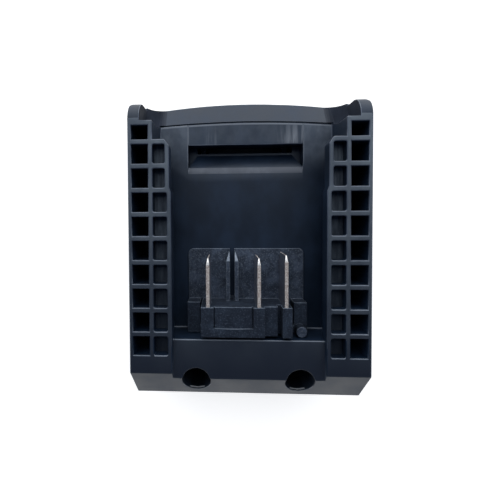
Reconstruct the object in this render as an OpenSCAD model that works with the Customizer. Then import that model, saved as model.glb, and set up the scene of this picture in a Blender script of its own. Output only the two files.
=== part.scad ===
// Slide-on tool battery adapter.
// The battery slides into the open channel on top from the entry end (+Y) up to the stop block (-Y).
// The tool takes the T-shaped deck underneath, and a sprung release latch at the entry end locks it.
// The deck face lies on Z = 0, and X = 0 is the middle plane of both slides.

/* [Body] */
// Overall width across both rails
body_w = 79; // [76:0.5:92]
// Length from the stop face to the top of the entry arc
body_len = 106; // [103:0.5:118]
// Height from the deck face to the rail tops
body_h = 40; // [37:0.5:46]
// Wall thickness of both shells
wall = 2; // [1.6:0.1:2.4]
// Height of the joint line between the two shells
parting_h = 13; // [12.5:0.1:14]
// Radius of the curved entry end in plan
entry_arc_r = 225; // [180:1:400]
// Corner radius of the ears in plan
ear_corner_r = 3; // [1:0.25:4]
// Length of the slope at the stop end
stop_slope_run = 11.4; // [8:0.1:13]
// Height of the slope at the stop end
stop_slope_drop = 10.8; // [8:0.1:13]

/* [Battery channel] */
// Depth of the channel floor below the rail tops
channel_depth = 16; // [14:0.25:18]
// Thickness of the channel floor
floor_t = 2.4; // [1.8:0.1:3]
// Width between the two groove walls
groove_w = 62.6; // [60:0.2:64]
// Width between the two lips
lip_gap = 50.4; // [48:0.2:52]
// Extra width of the lip gap over the first rows
lip_relief = 1.2; // [0.4:0.1:2]
// Number of rows with the extra width
lip_relief_rows = 2; // [1:1:4]
// Thickness of the lips over the grooves
lip_t = 5.8; // [5:0.1:7]
// Width of the lead-in bevel on each lip
lip_lead_w = 1.5; // [0.5:0.1:2]
// Length of the lead-in bevel on each lip
lip_lead_len = 2.2; // [1:0.1:4]
// Length of the stop block from the stop face
stop_block_len = 22.2; // [20:0.1:25]
// Height of the rails above the stop block
stop_block_drop = 2.4; // [1:0.1:4]

/* [Rail lattice] */
// Distance from one cross rib to the next
row_pitch = 7.95; // [7.5:0.05:8.1]
// Thickness of the cross ribs
rib_t = 1.6; // [1.2:0.1:2]
// Least length of the ears in front of the rails, in the middle
ear_len = 10.5; // [9.5:0.1:14]
// Length of the short outer pocket at the entry end
entry_row_len = 4.65; // [3:0.05:5]
// Distance from the stop face to the first pocket
lattice_start = 17.45; // [16:0.05:18]
// Wall between the outer pockets and the side
side_wall_t = 1.3; // [1.2:0.05:2.4]
// Wall between the outer pockets and the grooves
mid_rib_t = 1.45; // [1.2:0.05:1.8]
// Rim between the inner pockets and the lip edge
lip_rim_t = 1.4; // [1:0.1:2]
// Depth of the outer pockets
outer_pocket_depth = 20; // [12:0.5:21]
// Depth of the inner pockets
inner_pocket_depth = 4; // [2:0.25:4.5]
// Corner radius of the inner pockets
pocket_r = 0.6; // [0.3:0.1:1.2]

/* [Entry end] */
// Length of the sloped apron in front of the channel floor, in the middle
apron_run = 8.1; // [7.5:0.1:9]
// Height of the sloped apron, in the middle
apron_drop = 5; // [4:0.1:5.5]
// Radius of the curved floor edge behind the apron in plan
floor_edge_r = 390; // [250:5:600]
// Thickness of the ears beside the apron
ear_t = 4; // [3:0.05:4.5]
// Radius of the rounded ear tops, seen from the side
ear_round_r = 6.9; // [5:0.1:7.4]
// Radius of the scoop between ear and apron
scoop_r = 7.5; // [5:0.25:9]
// Height of the sloped foot at the end of each groove wall
foot_h = 6.7; // [4:0.1:8]
// Depth of the shallow run-in in the middle of the floor
run_in_depth = 0.4; // [0.2:0.1:0.8]
// Width of the line cut between floor and apron
apron_line_w = 0.5; // [0.3:0.05:0.8]
// Depth of the line cut below the run-in
apron_line_depth = 0.4; // [0.2:0.05:0.8]

/* [Catch recess] */
// Width of the recess that the battery's catch drops into
catch_w = 42; // [36:0.5:46]
// Length of the recess
catch_len = 10.5; // [9.5:0.1:11.5]
// Depth of the recess
catch_depth = 6; // [5:0.1:6.5]
// Distance from the floor's entry edge to the recess
catch_inset = 8.1; // [7.8:0.1:9.2]
// Length of the bevelled edge on the stop side
catch_bevel_len = 2.3; // [1:0.1:3]
// Height of the bevelled edge on the stop side
catch_bevel_drop = 1.1; // [0.5:0.1:2]
// Length of the ramp below the bevelled edge
catch_ramp_len = 5.2; // [3:0.1:5.5]
// Narrowing of the ramp on each side, at its deep end
catch_side_gap = 3; // [1:0.1:4]
// Length of the slot through the bottom of the recess
catch_slot_len = 2.2; // [1:0.1:2.4]

/* [Terminal block] */
// Width of the terminal block
block_w = 42; // [40:0.2:44]
// Distance from the stop block to the back of the terminal block
block_gap = 1; // [0.5:0.1:1.5]
// Length of the tall part of the block
block_len = 10.1; // [9.5:0.1:12]
// Length of the flat plate in front of the tall part
plate_len = 18.5; // [16:0.1:20]
// Thickness of the flat plate
plate_t = 0.9; // [0.6:0.1:1.5]
// Corner radius of the flat plate
plate_r = 1.9; // [0.5:0.1:2.5]
// Drop from the rail tops to the post tops
post_drop = 1.4; // [1:0.1:3]
// Width of each post from the blade's middle to its inner side
post_in_w = 1.9; // [1.5:0.05:2]
// Width of the positive post from the blade's middle to its outer side
post_out_w = 2.4; // [1.6:0.05:2.6]
// Drop from the post tops to the filler between the last two posts
filler_drop = 1.8; // [0.5:0.1:3]
// Width of the slot between the filler and the negative post
post_slot_w = 1.3; // [0.8:0.05:1.5]
// Distance from the negative blade's middle to that slot
post_slot_in = 1.35; // [1.3:0.05:1.5]
// Depth of that slot below the filler
post_slot_depth = 3; // [1:0.1:4]
// Drop from the post tops to the web between the posts
web_drop = 0.7; // [0.3:0.1:1.5]
// Length of the bare panel on the web
panel_len = 7.1; // [5:0.1:8]
// Width of the line cut along each side of the panel
panel_line_w = 0.45; // [0.3:0.05:0.8]
// Height of the wings above the channel floor
wing_h = 6.7; // [5:0.1:8]
// Width of each wing
wing_w = 4.6; // [4.4:0.1:4.8]
// Radius of the round key on the wing beside the negative post
key_r = 1.8; // [1.2:0.1:2]
// Height of the round key above the wing
key_h = 4.4; // [2:0.1:5]
// Middle of the pair of coding ribs, across
coding_x = -4.95; // [-5.5:0.05:-4.5]
// Distance between the two coding ribs
coding_pitch = 3.05; // [2.6:0.05:3.4]
// Thickness of each coding rib
coding_t = 1.45; // [1:0.05:1.6]
// Height of the coding ribs above the plate
coding_h = 3.6; // [2.5:0.1:4.5]
// Length of the pointed end of each coding rib
coding_tip = 4.4; // [3:0.1:5]

/* [Blades] */
// Place of the positive blade, across
positive_x = -13.35; // [-13.6:0.05:-13.2]
// Place of the signal blade, across
signal_x = 3.7; // [3.4:0.05:4]
// Place of the negative blade, across
negative_x = 12.7; // [12.5:0.05:12.8]
// Thickness of the blades
blade_t = 1.15; // [0.8:0.05:1.2]
// Bare length of the positive and signal blades
blade_len = 16.2; // [13:0.1:17]
// Extra length of the negative blade, which meets first
blade_lead = 1; // [0:0.1:1.2]
// Drop from the post tops to the blade tops
blade_drop = 0.5; // [0.2:0.1:2]
// Length of the bevelled nose of each blade
blade_nose = 2.2; // [0.8:0.1:2.5]
// Width of the tail that goes down through the floor
tail_w = 4.4; // [3:0.1:5]
// Height of the solder tab on each tail
tab_h = 3.2; // [2.4:0.1:3.4]
// Length of the solder tab on each tail
tab_len = 13.5; // [11:0.1:15]
// Gap on each side of a seated metal part
seat_gap = 0.05; // [0.02:0.01:0.1]

/* [Tool deck] */
// Width of the deck flange
deck_w = 62; // [60:0.2:63]
// Thickness of the deck flange
deck_flange_t = 4; // [3.5:0.1:4.2]
// Width of the neck between the two tool grooves
neck_w = 54; // [52:0.2:55]
// Height of the tool grooves
tool_groove_h = 5; // [4.8:0.1:5.2]
// Distance from the stop face to the deck end
deck_start = 2.9; // [2:0.1:3.5]
// Distance from the top of the entry arc to the deck end
deck_inset = 6.6; // [5.5:0.1:9]
// Length of the notch that bares the hook
notch_len = 15; // [14:0.1:16]
// Width of the notch that bares the hook
notch_w = 30; // [29.5:0.1:34]
// Depth of the notch
notch_depth = 6; // [5.5:0.1:6.2]
// Width of each terminal slot
slot_w = 2.6; // [2:0.1:2.8]
// Length of each terminal slot
slot_len = 27; // [25:0.1:29]

/* [Tool contacts] */
// Length of the contact holder
holder_len = 17.5; // [16:0.1:19]
// Height of the contact holder
holder_h = 9.6; // [9.2:0.1:10.2]
// Distance from the deck end to the contact holder
holder_inset = 9; // [8.6:0.1:10]
// Width of each contact chamber
chamber_w = 5; // [4.6:0.1:5.2]
// Width of the springs' strip, which is the height of a contact
clip_h = 6; // [5:0.1:6.4]
// Thickness of the contact strip
clip_t = 0.7; // [0.5:0.05:0.8]
// Gap between the two leaves where they grip
clip_gap = 0.8; // [0.5:0.05:1.2]
// Length of the contact leaves
clip_len = 14; // [12:0.1:15]
// Length of the solder tail of a contact
clip_tail = 6.5; // [6:0.1:8]

/* [Leads] */
// Diameter of the positive and negative leads
power_lead_d = 3.4; // [2.4:0.1:3.6]
// Diameter of the signal lead
signal_lead_d = 2.2; // [1.8:0.1:3]
// Straight length of the leads before the bend
lead_run = 8; // [4:0.5:12]
// Wall of the shrink sleeves
sleeve_t = 0.4; // [0.3:0.05:0.6]
// Length of a shrink sleeve
sleeve_len = 8; // [6:0.5:9]
// Length of the lead that a sleeve covers
sleeve_grip = 4; // [2:0.5:5]
// Gap between a lead and its sleeve
sleeve_gap = 0.1; // [0.05:0.01:0.2]

/* [Release latch] */
// Width of the thumb button
button_w = 22; // [16:0.5:24]
// Height of the thumb button
button_h = 4; // [3.5:0.1:4.2]
// How far the button stands out of the entry end
button_proud = 0.8; // [0.4:0.1:1]
// Number of grip grooves on the button
grip_count = 3; // [2:1:4]
// Travel of the latch
latch_travel = 3.5; // [2.5:0.1:3.6]
// Width of the hook
hook_w = 16; // [12:0.5:17]
// Length of the hook along the slide
hook_len = 6; // [5:0.1:6.5]
// Gap between the hook's tip and the deck face
hook_clear = 0.8; // [0.5:0.1:2]
// Width of the latch plate
latch_w = 28; // [26:0.5:29]
// Thickness of the latch plate
latch_t = 2.5; // [2:0.1:2.8]
// Running gap around the latch
latch_gap = 0.3; // [0.25:0.05:0.4]
// Outside diameter of the latch springs
spring_d = 4.6; // [4:0.1:4.8]
// Wire diameter of the latch springs
spring_wire = 0.6; // [0.4:0.05:0.7]
// Turns of each latch spring
spring_turns = 6; // [4:1:7]
// Distance from the middle plane to each latch spring
spring_x = 10.8; // [10.6:0.1:11]

/* [Screws] */
// Distance from the middle plane to each screw well
well_x = 17.5; // [17.4:0.1:19]
// Distance from the stop face to the screw wells
well_inset = 7.5; // [7.4:0.1:8.4]
// Radius of the screw wells
well_r = 4.9; // [4.5:0.1:5.4]
// Thickness of each well's floor
well_floor_t = 2; // [1.6:0.1:3]
// Shank radius of the housing screws
screw_r = 1.5; // [1.2:0.05:1.6]
// Head radius of the housing screws
screw_head_r = 2.8; // [2.5:0.05:3]
// Head height of the housing screws
screw_head_h = 1.8; // [1.4:0.1:2]
// Shank length of the front screws
front_screw_len = 10; // [8:0.5:11]
// Shank length of the rear screws
rear_screw_len = 8; // [6.5:0.5:8.5]
// Distance from the middle plane to the rear screws
rear_screw_x = 35; // [34.8:0.1:35.2]
// Distance from the entry arc's top to the rear screws
rear_screw_inset = 20; // [18:0.5:30]
// Radius of the screw bosses
boss_r = 3.2; // [3:0.05:3.25]
// Shank radius of the small inner screws
small_screw_r = 0.9; // [0.8:0.05:1]
// Head radius of the small inner screws
small_head_r = 1.7; // [1.5:0.05:1.8]
// Head height of the small inner screws
small_head_h = 1.3; // [1:0.1:1.5]
// Shank length of the block screws
block_screw_len = 7; // [5:0.5:7.5]
// Shank length of the holder screws
holder_screw_len = 5.5; // [4:0.5:6]
// Radial gap around every screw shank
screw_gap = 0.05; // [0.02:0.01:0.1]

/* [Hidden] */
$fn = 48;

// How far a cutter reaches past the face that it opens
over = 1;
// Flats on each round corner of the ears
corner_steps = 6;
half_w = body_w / 2;
y_stop = -(body_len + button_proud) / 2;
y_apex = y_stop + body_len;
arc_y = y_apex - entry_arc_r;
rail_z = body_h;
floor_z = rail_z - channel_depth;
under_floor_z = floor_z - floor_t;

// Channel and lattice
groove_x = groove_w / 2;
lip_z = rail_z - lip_t;
lip_x = lip_gap / 2;
relief_x = lip_x + lip_relief / 2;
stop_wall_y = y_stop + stop_block_len;
stop_block_z = rail_z - stop_block_drop;
rows_y = y_stop + lattice_start;
row_count = floor((body_len - lattice_start - entry_row_len - rib_t - ear_len) / row_pitch);
lip_end_y = rows_y + row_count * row_pitch;
relief_y = lip_end_y - lip_relief_rows * row_pitch;
rail_end_y = lip_end_y + entry_row_len + rib_t;
outer_in_x = groove_x + mid_rib_t;
outer_out_x = half_w - side_wall_t;
pocket_floor_z = rail_z - outer_pocket_depth;

// Entry end
floor_edge_y = y_apex - apron_run;
floor_arc_y = floor_edge_y - floor_edge_r;
apron_z = floor_z - apron_drop;
ear_x = half_w - ear_t;
side_edge_y = floor_arc_y + sqrt(pow(floor_edge_r, 2) - pow(groove_x, 2));
apron_tilt = atan(apron_drop / apron_run);

// Catch recess
catch_far_y = floor_edge_y - catch_inset;
catch_near_y = catch_far_y - catch_len;
catch_z = floor_z - catch_depth;

// Terminal block
block_back_y = stop_wall_y + block_gap;
block_front_y = block_back_y + block_len;
plate_front_y = block_front_y + plate_len;
plate_z = floor_z + plate_t;
post_z = rail_z - post_drop;
web_z = post_z - web_drop;
wing_z = floor_z + wing_h;
blade_z = post_z - blade_drop;
blade_back_y = block_back_y + wall / 2;
tab_z = under_floor_z - wall - tab_h;
tab_y = blade_back_y + tab_len;
wing_x = block_w / 2 - wing_w / 2;
block_screw_y = (block_back_y + block_front_y) / 2;

// Tool deck
groove_top_z = deck_flange_t + tool_groove_h;
skirt_floor_z = groove_top_z + wall;
deck_y = y_stop + deck_start;
deck_end_y = y_apex - deck_inset;
notch_y = deck_end_y - notch_len;
notch_plate_z = notch_depth + wall;
holder_y = deck_y + holder_inset;
holder_back_y = holder_y + holder_len;
holder_z = wall + holder_h;
chamber_z = wall + (holder_h - clip_h) / 2;
clip_back_y = holder_back_y - wall;
clip_tail_y = clip_back_y + clip_tail;
clip_mid_z = chamber_z + clip_h / 2;
clip_tail_h = tab_h;
holder_ear_w = 2 * small_head_r + 0.4;
holder_x = chamber_w / 2 + wall + max(-positive_x, negative_x);
holder_screw_x = holder_x + holder_ear_w / 2;
holder_screw_y = holder_back_y - holder_len / 3;
holder_ear_z = wall + holder_h / 2;

// Leads
tab_mid_z = tab_z + tab_h / 2;
bend_r = (tab_mid_z - clip_mid_z) / 2;

// Latch
latch_z = notch_plate_z + latch_gap;
latch_top_z = latch_z + latch_t;
hook_far_y = deck_end_y - notch_len / 3;
hook_near_y = hook_far_y - hook_len;
latch_back_y = hook_near_y - wall;
latch_front_y = arc_y + sqrt(pow(entry_arc_r - wall, 2) - pow(latch_w / 2, 2)) - latch_gap;
button_z = skirt_floor_z - wall / 2;
button_face_y = y_apex + button_proud;
grip_w = button_h / (2 * grip_count + 1);
spring_y = (catch_far_y + wall + floor_edge_y) / 2 - latch_gap;
spring_len = under_floor_z - latch_top_z;
spring_mid_r = (spring_d - spring_wire) / 2;
peg_r = spring_mid_r - spring_wire / 2 - latch_gap;
peg_h = wall;

// Screws
well_y = y_stop + well_inset;
well_floor_z = parting_h + well_floor_t;
rear_screw_y = y_apex - rear_screw_inset;
rear_head_z = groove_top_z + screw_head_h;

black_plastic = [0.13, 0.15, 0.18];
block_plastic = [0.20, 0.22, 0.24];
nickel = [0.78, 0.77, 0.74];
brass = [0.78, 0.62, 0.36];
steel = [0.55, 0.56, 0.58];

// Lays a profile drawn in (Y, Z) across the part, centred on x with width w
module across(x, w) {
    translate([x - w / 2, 0, 0])
        rotate([90, 0, 90])
            linear_extrude(w)
                children();
}

// A box given by its two corners
module box(low, high) {
    translate(low)
        cube(high - low);
}

// A rectangle with round corners, given by its two corners
module round_rect(low, high, r) {
    translate([low[0] + r, low[1]])
        square([high[0] - low[0] - 2 * r, high[1] - low[1]]);
    translate([low[0], low[1] + r])
        square([high[0] - low[0], high[1] - low[1] - 2 * r]);
    for (x = [low[0] + r, high[0] - r], y = [low[1] + r, high[1] - r])
        translate([x, y])
            circle(r);
}

// Both sides of the middle plane
module both_sides() {
    children();
    mirror([1, 0, 0])
        children();
}

// Plan of the body: straight sides and stop face, and an entry end on a wide arc with round corners
module plan(inset) {
    side = half_w - inset;
    arc = entry_arc_r - inset;
    corner = ear_corner_r - inset / 2;
    mid_x = side - corner;
    mid_y = arc_y + sqrt(pow(arc - corner, 2) - pow(mid_x, 2));
    sweep = acos(mid_x / (arc - corner));
    low = y_stop + inset;
    round_side = [for (i = [0 : corner_steps])
        [mid_x, mid_y] + corner * [cos(sweep * i / corner_steps), sin(sweep * i / corner_steps)]];
    half = concat([[side, low]], round_side, [[mid_x, y_apex + over]]);
    intersection() {
        polygon(concat(half, [for (i = [len(half) - 1 : -1 : 0]) [-half[i][0], half[i][1]]]));
        translate([0, arc_y])
            circle(arc, $fn = 360);
    }
}

// Slope of the stop end, moved in by the given distance measured square to it
function slope_z(y, inset) =
    rail_z - stop_slope_drop - inset * norm([stop_slope_run, stop_slope_drop]) / stop_slope_run
    + (y - y_stop) * stop_slope_drop / stop_slope_run;

module stop_slope_cut() {
    across(0, body_w + 2 * over)
        polygon([
            [y_stop - over, slope_z(y_stop - over, 0)],
            [y_stop + stop_slope_run + over, slope_z(y_stop + stop_slope_run + over, 0)],
            [y_stop - over, slope_z(y_stop + stop_slope_run + over, 0)]
        ]);
}

// Solid below the channel floor and the sloped apron in front of it
module apron_form() {
    far_r = floor_edge_r + apron_run + 2 * over;
    translate([0, floor_arc_y, 0])
        rotate_extrude($fn = 360)
            polygon([
                [0, 0],
                [far_r, 0],
                [far_r, apron_z - 2 * over * apron_drop / apron_run],
                [floor_edge_r, floor_z],
                [0, floor_z]
            ]);
}

// Concave fillet from the apron up to the inner face of an ear, which it meets at a slight angle
module scoop_form() {
    reach = apron_run + ear_round_r;
    translate([0, side_edge_y, floor_z])
        rotate([-apron_tilt, 0, 0])
            translate([0, reach, 0])
                rotate([90, 0, 0])
                    linear_extrude(2 * reach)
                        difference() {
                            translate([ear_x - scoop_r, -scoop_r])
                                square([scoop_r + over, 2 * scoop_r]);
                            translate([ear_x - scoop_r * 0.98, scoop_r])
                                circle(scoop_r);
                        }
}

// Sloped foot where a groove wall ends beside the apron
module groove_foot() {
    across((groove_x + ear_x) / 2, ear_x - groove_x)
        polygon([
            [rail_end_y - over, floor_z - over],
            [side_edge_y, floor_z - over],
            [side_edge_y, floor_z],
            [rail_end_y, floor_z + foot_h],
            [rail_end_y - over, floor_z + foot_h]
        ]);
}

// What is cut away at the entry end, above the apron and between the ears
module entry_cut() {
    difference() {
        box([-ear_x, rail_end_y, apron_z - over], [ear_x, y_apex + over, rail_z + over]);
        apron_form();
        both_sides() {
            scoop_form();
            groove_foot();
        }
    }
    ear_round_cut();
}

// Rounded tops and flat fronts of the ears, seen from the side
module ear_round_cut() {
    mid_z = rail_z - ear_round_r;
    front_y = rail_end_y + ear_round_r;
    both_sides()
        box(
            [ear_x - scoop_r / 2, front_y, floor_z + scoop_r / 3],
            [half_w + over, y_apex + over, mid_z + over]
        );
    difference() {
        box([-half_w - over, rail_end_y, mid_z], [half_w + over, y_apex + over, rail_z + over]);
        translate([-half_w - 2 * over, rail_end_y, mid_z])
            rotate([0, 90, 0])
                cylinder(r = ear_round_r, h = body_w + 4 * over);
    }
}

// Line cut that parts the channel floor from the apron
module apron_line_cut() {
    reach = floor_edge_r + apron_run;
    difference() {
        translate([0, floor_arc_y, floor_z - run_in_depth - apron_line_depth])
            rotate_extrude($fn = 360)
                translate([floor_edge_r, 0])
                    square([apron_line_w, run_in_depth + apron_line_depth + over]);
        box([-reach, floor_arc_y - reach, 0], [reach, rail_end_y, body_h]);
        both_sides()
            box([groove_x, rail_end_y - over, 0], [reach, y_apex + over, body_h]);
    }
}

// The open channel: floor, side grooves and the gap between the lips
module channel_cut() {
    top = rail_z + over;
    far = side_edge_y + apron_line_w / 2;
    box([-groove_x, stop_wall_y, floor_z], [groove_x, far, lip_z]);
    box([-groove_x, lip_end_y, floor_z], [groove_x, far, top]);
    box([-lip_x, stop_wall_y, floor_z], [lip_x, far, top]);
    translate([0, 0, floor_z])
        linear_extrude(channel_depth + over)
            polygon([
                [relief_x, far],
                [relief_x, relief_y],
                [2 * lip_x - relief_x, relief_y - 2 * rib_t],
                [relief_x - 2 * lip_x, relief_y - 2 * rib_t],
                [-relief_x, relief_y],
                [-relief_x, far]
            ]);
    box([-lip_x, y_stop - over, stop_block_z], [lip_x, stop_wall_y + over, top]);
    translate([0, 0, floor_z])
        linear_extrude(channel_depth + over)
            both_sides()
                polygon([
                    [relief_x - over, lip_end_y - lip_lead_len - over * lip_lead_len / lip_lead_w],
                    [relief_x + lip_lead_w, lip_end_y],
                    [relief_x + lip_lead_w, lip_end_y + over],
                    [relief_x - over, lip_end_y + over]
                ]);
}

// Pockets that lighten one rail: a deep outer row and a shallow inner row
module pocket_cuts() {
    pocket = row_pitch - rib_t;
    for (i = [0 : row_count]) {
        y = rows_y + i * row_pitch;
        len = i < row_count ? pocket : entry_row_len;
        box([outer_in_x, y, pocket_floor_z], [outer_out_x, y + len, rail_z + over]);
    }
    for (i = [0 : row_count - 1]) {
        y = rows_y + i * row_pitch;
        edge = y + pocket > relief_y ? relief_x : lip_x;
        translate([0, 0, rail_z - inner_pocket_depth])
            linear_extrude(inner_pocket_depth + over)
                round_rect([edge + lip_rim_t, y], [groove_x, y + pocket], pocket_r);
    }
}

// Recess for the battery's catch, with a bevelled edge, a narrowing ramp and a slot at the bottom
module catch_cut() {
    half = catch_w / 2;
    bevel_y = catch_near_y + catch_bevel_len;
    bevel_z = floor_z - catch_bevel_drop;
    ramp_y = bevel_y + catch_ramp_len;
    across(0, catch_w)
        polygon([
            [catch_near_y, floor_z],
            [bevel_y, bevel_z],
            [ramp_y, catch_z],
            [catch_far_y, catch_z],
            [catch_far_y, floor_z + over],
            [catch_near_y, floor_z + over]
        ]);
    translate([0, 0, catch_z])
        linear_extrude(catch_depth)
            both_sides()
                polygon([
                    [half, bevel_y],
                    [half, catch_far_y],
                    [half - catch_side_gap, catch_far_y],
                    [half - catch_side_gap, ramp_y]
                ]);
    box(
        [catch_side_gap - half, catch_far_y - seat_gap - catch_slot_len, catch_z - wall - over],
        [half - catch_side_gap, catch_far_y - seat_gap, catch_z + over]
    );
    box([-half, catch_far_y - over, floor_z - run_in_depth], [half, y_apex + over, floor_z + over]);
}

// Space inside the battery shell, open towards the tool shell
module shell_space() {
    low = parting_h - over;
    side_top = pocket_floor_z - wall;
    catch_top = catch_z - wall;
    back = stop_wall_y - wall;
    lattice_back = rows_y - rib_t;
    intersection() {
        translate([0, 0, low])
            linear_extrude(side_top - low)
                plan(wall);
        difference() {
            box([-half_w, y_stop, low], [half_w, y_apex, side_top]);
            box(
                [-catch_w / 2 - wall, catch_near_y - wall, catch_top],
                [catch_w / 2 + wall, catch_far_y + wall, side_top + over]
            );
            box([-half_w, floor_edge_y, apron_z - wall / 2], [half_w, y_apex, side_top + over]);
        }
    }
    box([wall - groove_x, back, low], [groove_x - wall, catch_near_y - wall, under_floor_z]);
    box(
        [wall - groove_x, catch_far_y + wall, low],
        [groove_x - wall, floor_edge_y - wall / 4, under_floor_z]
    );
    stop_space(lip_x - wall, back, stop_block_z - wall);
    stop_space(half_w - wall, lattice_back, stop_block_z - wall);
}

// Space behind the sloped stop end, for a half width and a far end
module stop_space(half, far, top) {
    low = parting_h - over;
    inner_y = y_stop + wall;
    top_y = inner_y + (top - slope_z(inner_y, wall)) * stop_slope_run / stop_slope_drop;
    across(0, 2 * half)
        polygon([
            [inner_y, low],
            [far, low],
            [far, top],
            [min(top_y, far - wall), min(top, slope_z(far - wall, wall))],
            [inner_y, slope_z(inner_y, wall)]
        ]);
}

// Outer form of the battery shell before it is hollowed
module shell_form() {
    difference() {
        translate([0, 0, parting_h])
            linear_extrude(rail_z - parting_h)
                plan(0);
        stop_slope_cut();
        entry_cut();
        channel_cut();
        both_sides()
            pocket_cuts();
        catch_cut();
        apron_line_cut();
    }
}

// Window for the thumb button, cut through the entry end of both shells
module button_window() {
    half = button_w / 2 + latch_gap;
    low = button_z - latch_gap;
    high = button_z + button_h + latch_travel + latch_gap;
    box([-half, y_apex - 2 * wall, low], [half, y_apex + over, high]);
}

// Slots in the channel floor that the blade tails pass through
module tail_slots() {
    half = blade_t / 2 + 4 * seat_gap;
    for (x = [positive_x, signal_x, negative_x])
        box(
            [x - half, blade_back_y - 2 * seat_gap, tab_z],
            [x + half, tab_y + 2 * seat_gap, floor_z + over]
        );
}

// Main moulding with the channel, the rails and the stop block
module battery_shell() {
    color(black_plastic)
        difference() {
            union() {
                difference() {
                    shell_form();
                    shell_space();
                }
                intersection() {
                    difference() {
                        translate([0, 0, parting_h])
                            linear_extrude(stop_block_z - parting_h)
                                plan(wall / 2);
                        stop_slope_cut();
                    }
                    both_sides()
                        translate([well_x, well_y, parting_h])
                            cylinder(r = well_r + wall * 0.75, h = body_h);
                }
                both_sides()
                    translate([rear_screw_x, rear_screw_y, parting_h])
                        cylinder(r = boss_r, h = pocket_floor_z - wall / 2 - parting_h);
            }
            both_sides() {
                translate([well_x, well_y, well_floor_z])
                    cylinder(r = well_r, h = body_h);
                translate([well_x, well_y, parting_h - over])
                    cylinder(r = screw_r + screw_gap, h = body_h);
                translate([rear_screw_x, rear_screw_y, parting_h - over])
                    cylinder(
                        r = screw_r + screw_gap,
                        h = rear_head_z + rear_screw_len - parting_h + 1.5 * over
                    );
                translate([wing_x, block_screw_y, under_floor_z - over])
                    cylinder(r = small_screw_r + screw_gap, h = floor_t + 2 * over);
            }
            tail_slots();
            button_window();
        }
}

// Skirt that closes the battery shell from below
module skirt() {
    difference() {
        translate([0, 0, groove_top_z])
            linear_extrude(parting_h - groove_top_z)
                plan(0);
        translate([0, 0, skirt_floor_z])
            linear_extrude(parting_h)
                plan(wall);
    }
}

// T-shaped deck that slides into the tool
module deck_form() {
    box([-deck_w / 2, deck_y, 0], [deck_w / 2, deck_end_y, deck_flange_t]);
    box([-neck_w / 2, deck_y, 0], [neck_w / 2, deck_end_y, skirt_floor_z]);
}

// Space inside the deck, with side pockets beside the notch
module deck_space() {
    half = neck_w / 2 - wall;
    high = parting_h + over;
    box([-half, deck_y + wall, wall], [half, notch_y - wall, high]);
    both_sides()
        box([notch_w / 2 + wall, notch_y, wall], [half, deck_end_y - wall, high]);
}

// Housing of the latch above the notch, and the space inside it
module latch_bay_form() {
    intersection() {
        box([-notch_w / 2 - wall, notch_y - wall, notch_depth], [notch_w / 2 + wall, y_apex, parting_h]);
        translate([0, 0, notch_depth])
            linear_extrude(parting_h)
                plan(0);
    }
}

module latch_bay_space() {
    high = parting_h + over;
    box([-notch_w / 2, notch_y, notch_plate_z], [notch_w / 2, y_apex - wall, high]);
    box(
        [-hook_w / 2 - latch_gap, hook_near_y - latch_gap, 0],
        [hook_w / 2 + latch_gap, hook_far_y + latch_gap, high]
    );
}

// Slots in the deck for the tool's blades
module terminal_slots() {
    for (x = [positive_x, signal_x, negative_x])
        box(
            [x - slot_w / 2, deck_y - over, -over],
            [x + slot_w / 2, deck_y + slot_len, holder_z]
        );
}

// Posts for the screws inside the tool shell
module tool_posts() {
    both_sides() {
        translate([well_x, well_y, wall / 2])
            cylinder(r = boss_r, h = parting_h - wall / 2);
        translate([rear_screw_x, rear_screw_y, groove_top_z])
            cylinder(r = boss_r, h = parting_h - groove_top_z);
        translate([holder_screw_x, holder_screw_y, wall / 2])
            cylinder(r = holder_ear_w / 2, h = holder_ear_z - wall / 2);
    }
}

// Lower moulding with the deck, the skirt and the latch bay
module tool_shell() {
    color(black_plastic)
        difference() {
            union() {
                difference() {
                    union() {
                        skirt();
                        difference() {
                            deck_form();
                            box(
                                [-notch_w / 2, notch_y, -over],
                                [notch_w / 2, deck_end_y + over, notch_depth]
                            );
                        }
                        latch_bay_form();
                    }
                    deck_space();
                    latch_bay_space();
                }
                tool_posts();
            }
            terminal_slots();
            button_window();
            both_sides() {
                translate([well_x, well_y, well_floor_z - front_screw_len - over])
                    cylinder(r = screw_r + screw_gap, h = body_h);
                translate([rear_screw_x, rear_screw_y, groove_top_z - over])
                    cylinder(r = screw_r + screw_gap, h = body_h);
                translate([rear_screw_x, rear_screw_y, groove_top_z - over])
                    cylinder(r = screw_head_r + 4 * screw_gap, h = screw_head_h + over);
                translate([holder_screw_x, holder_screw_y, wall])
                    cylinder(r = small_screw_r + screw_gap, h = body_h);
            }
        }
}

// Flat plate with round front corners, on the channel floor
module block_plate() {
    half = block_w / 2;
    translate([0, 0, floor_z])
        linear_extrude(plate_t) {
            round_rect([-half, block_front_y], [half, plate_front_y], plate_r);
            translate([-half, block_back_y])
                square([block_w, block_len + plate_r]);
        }
}

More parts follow.
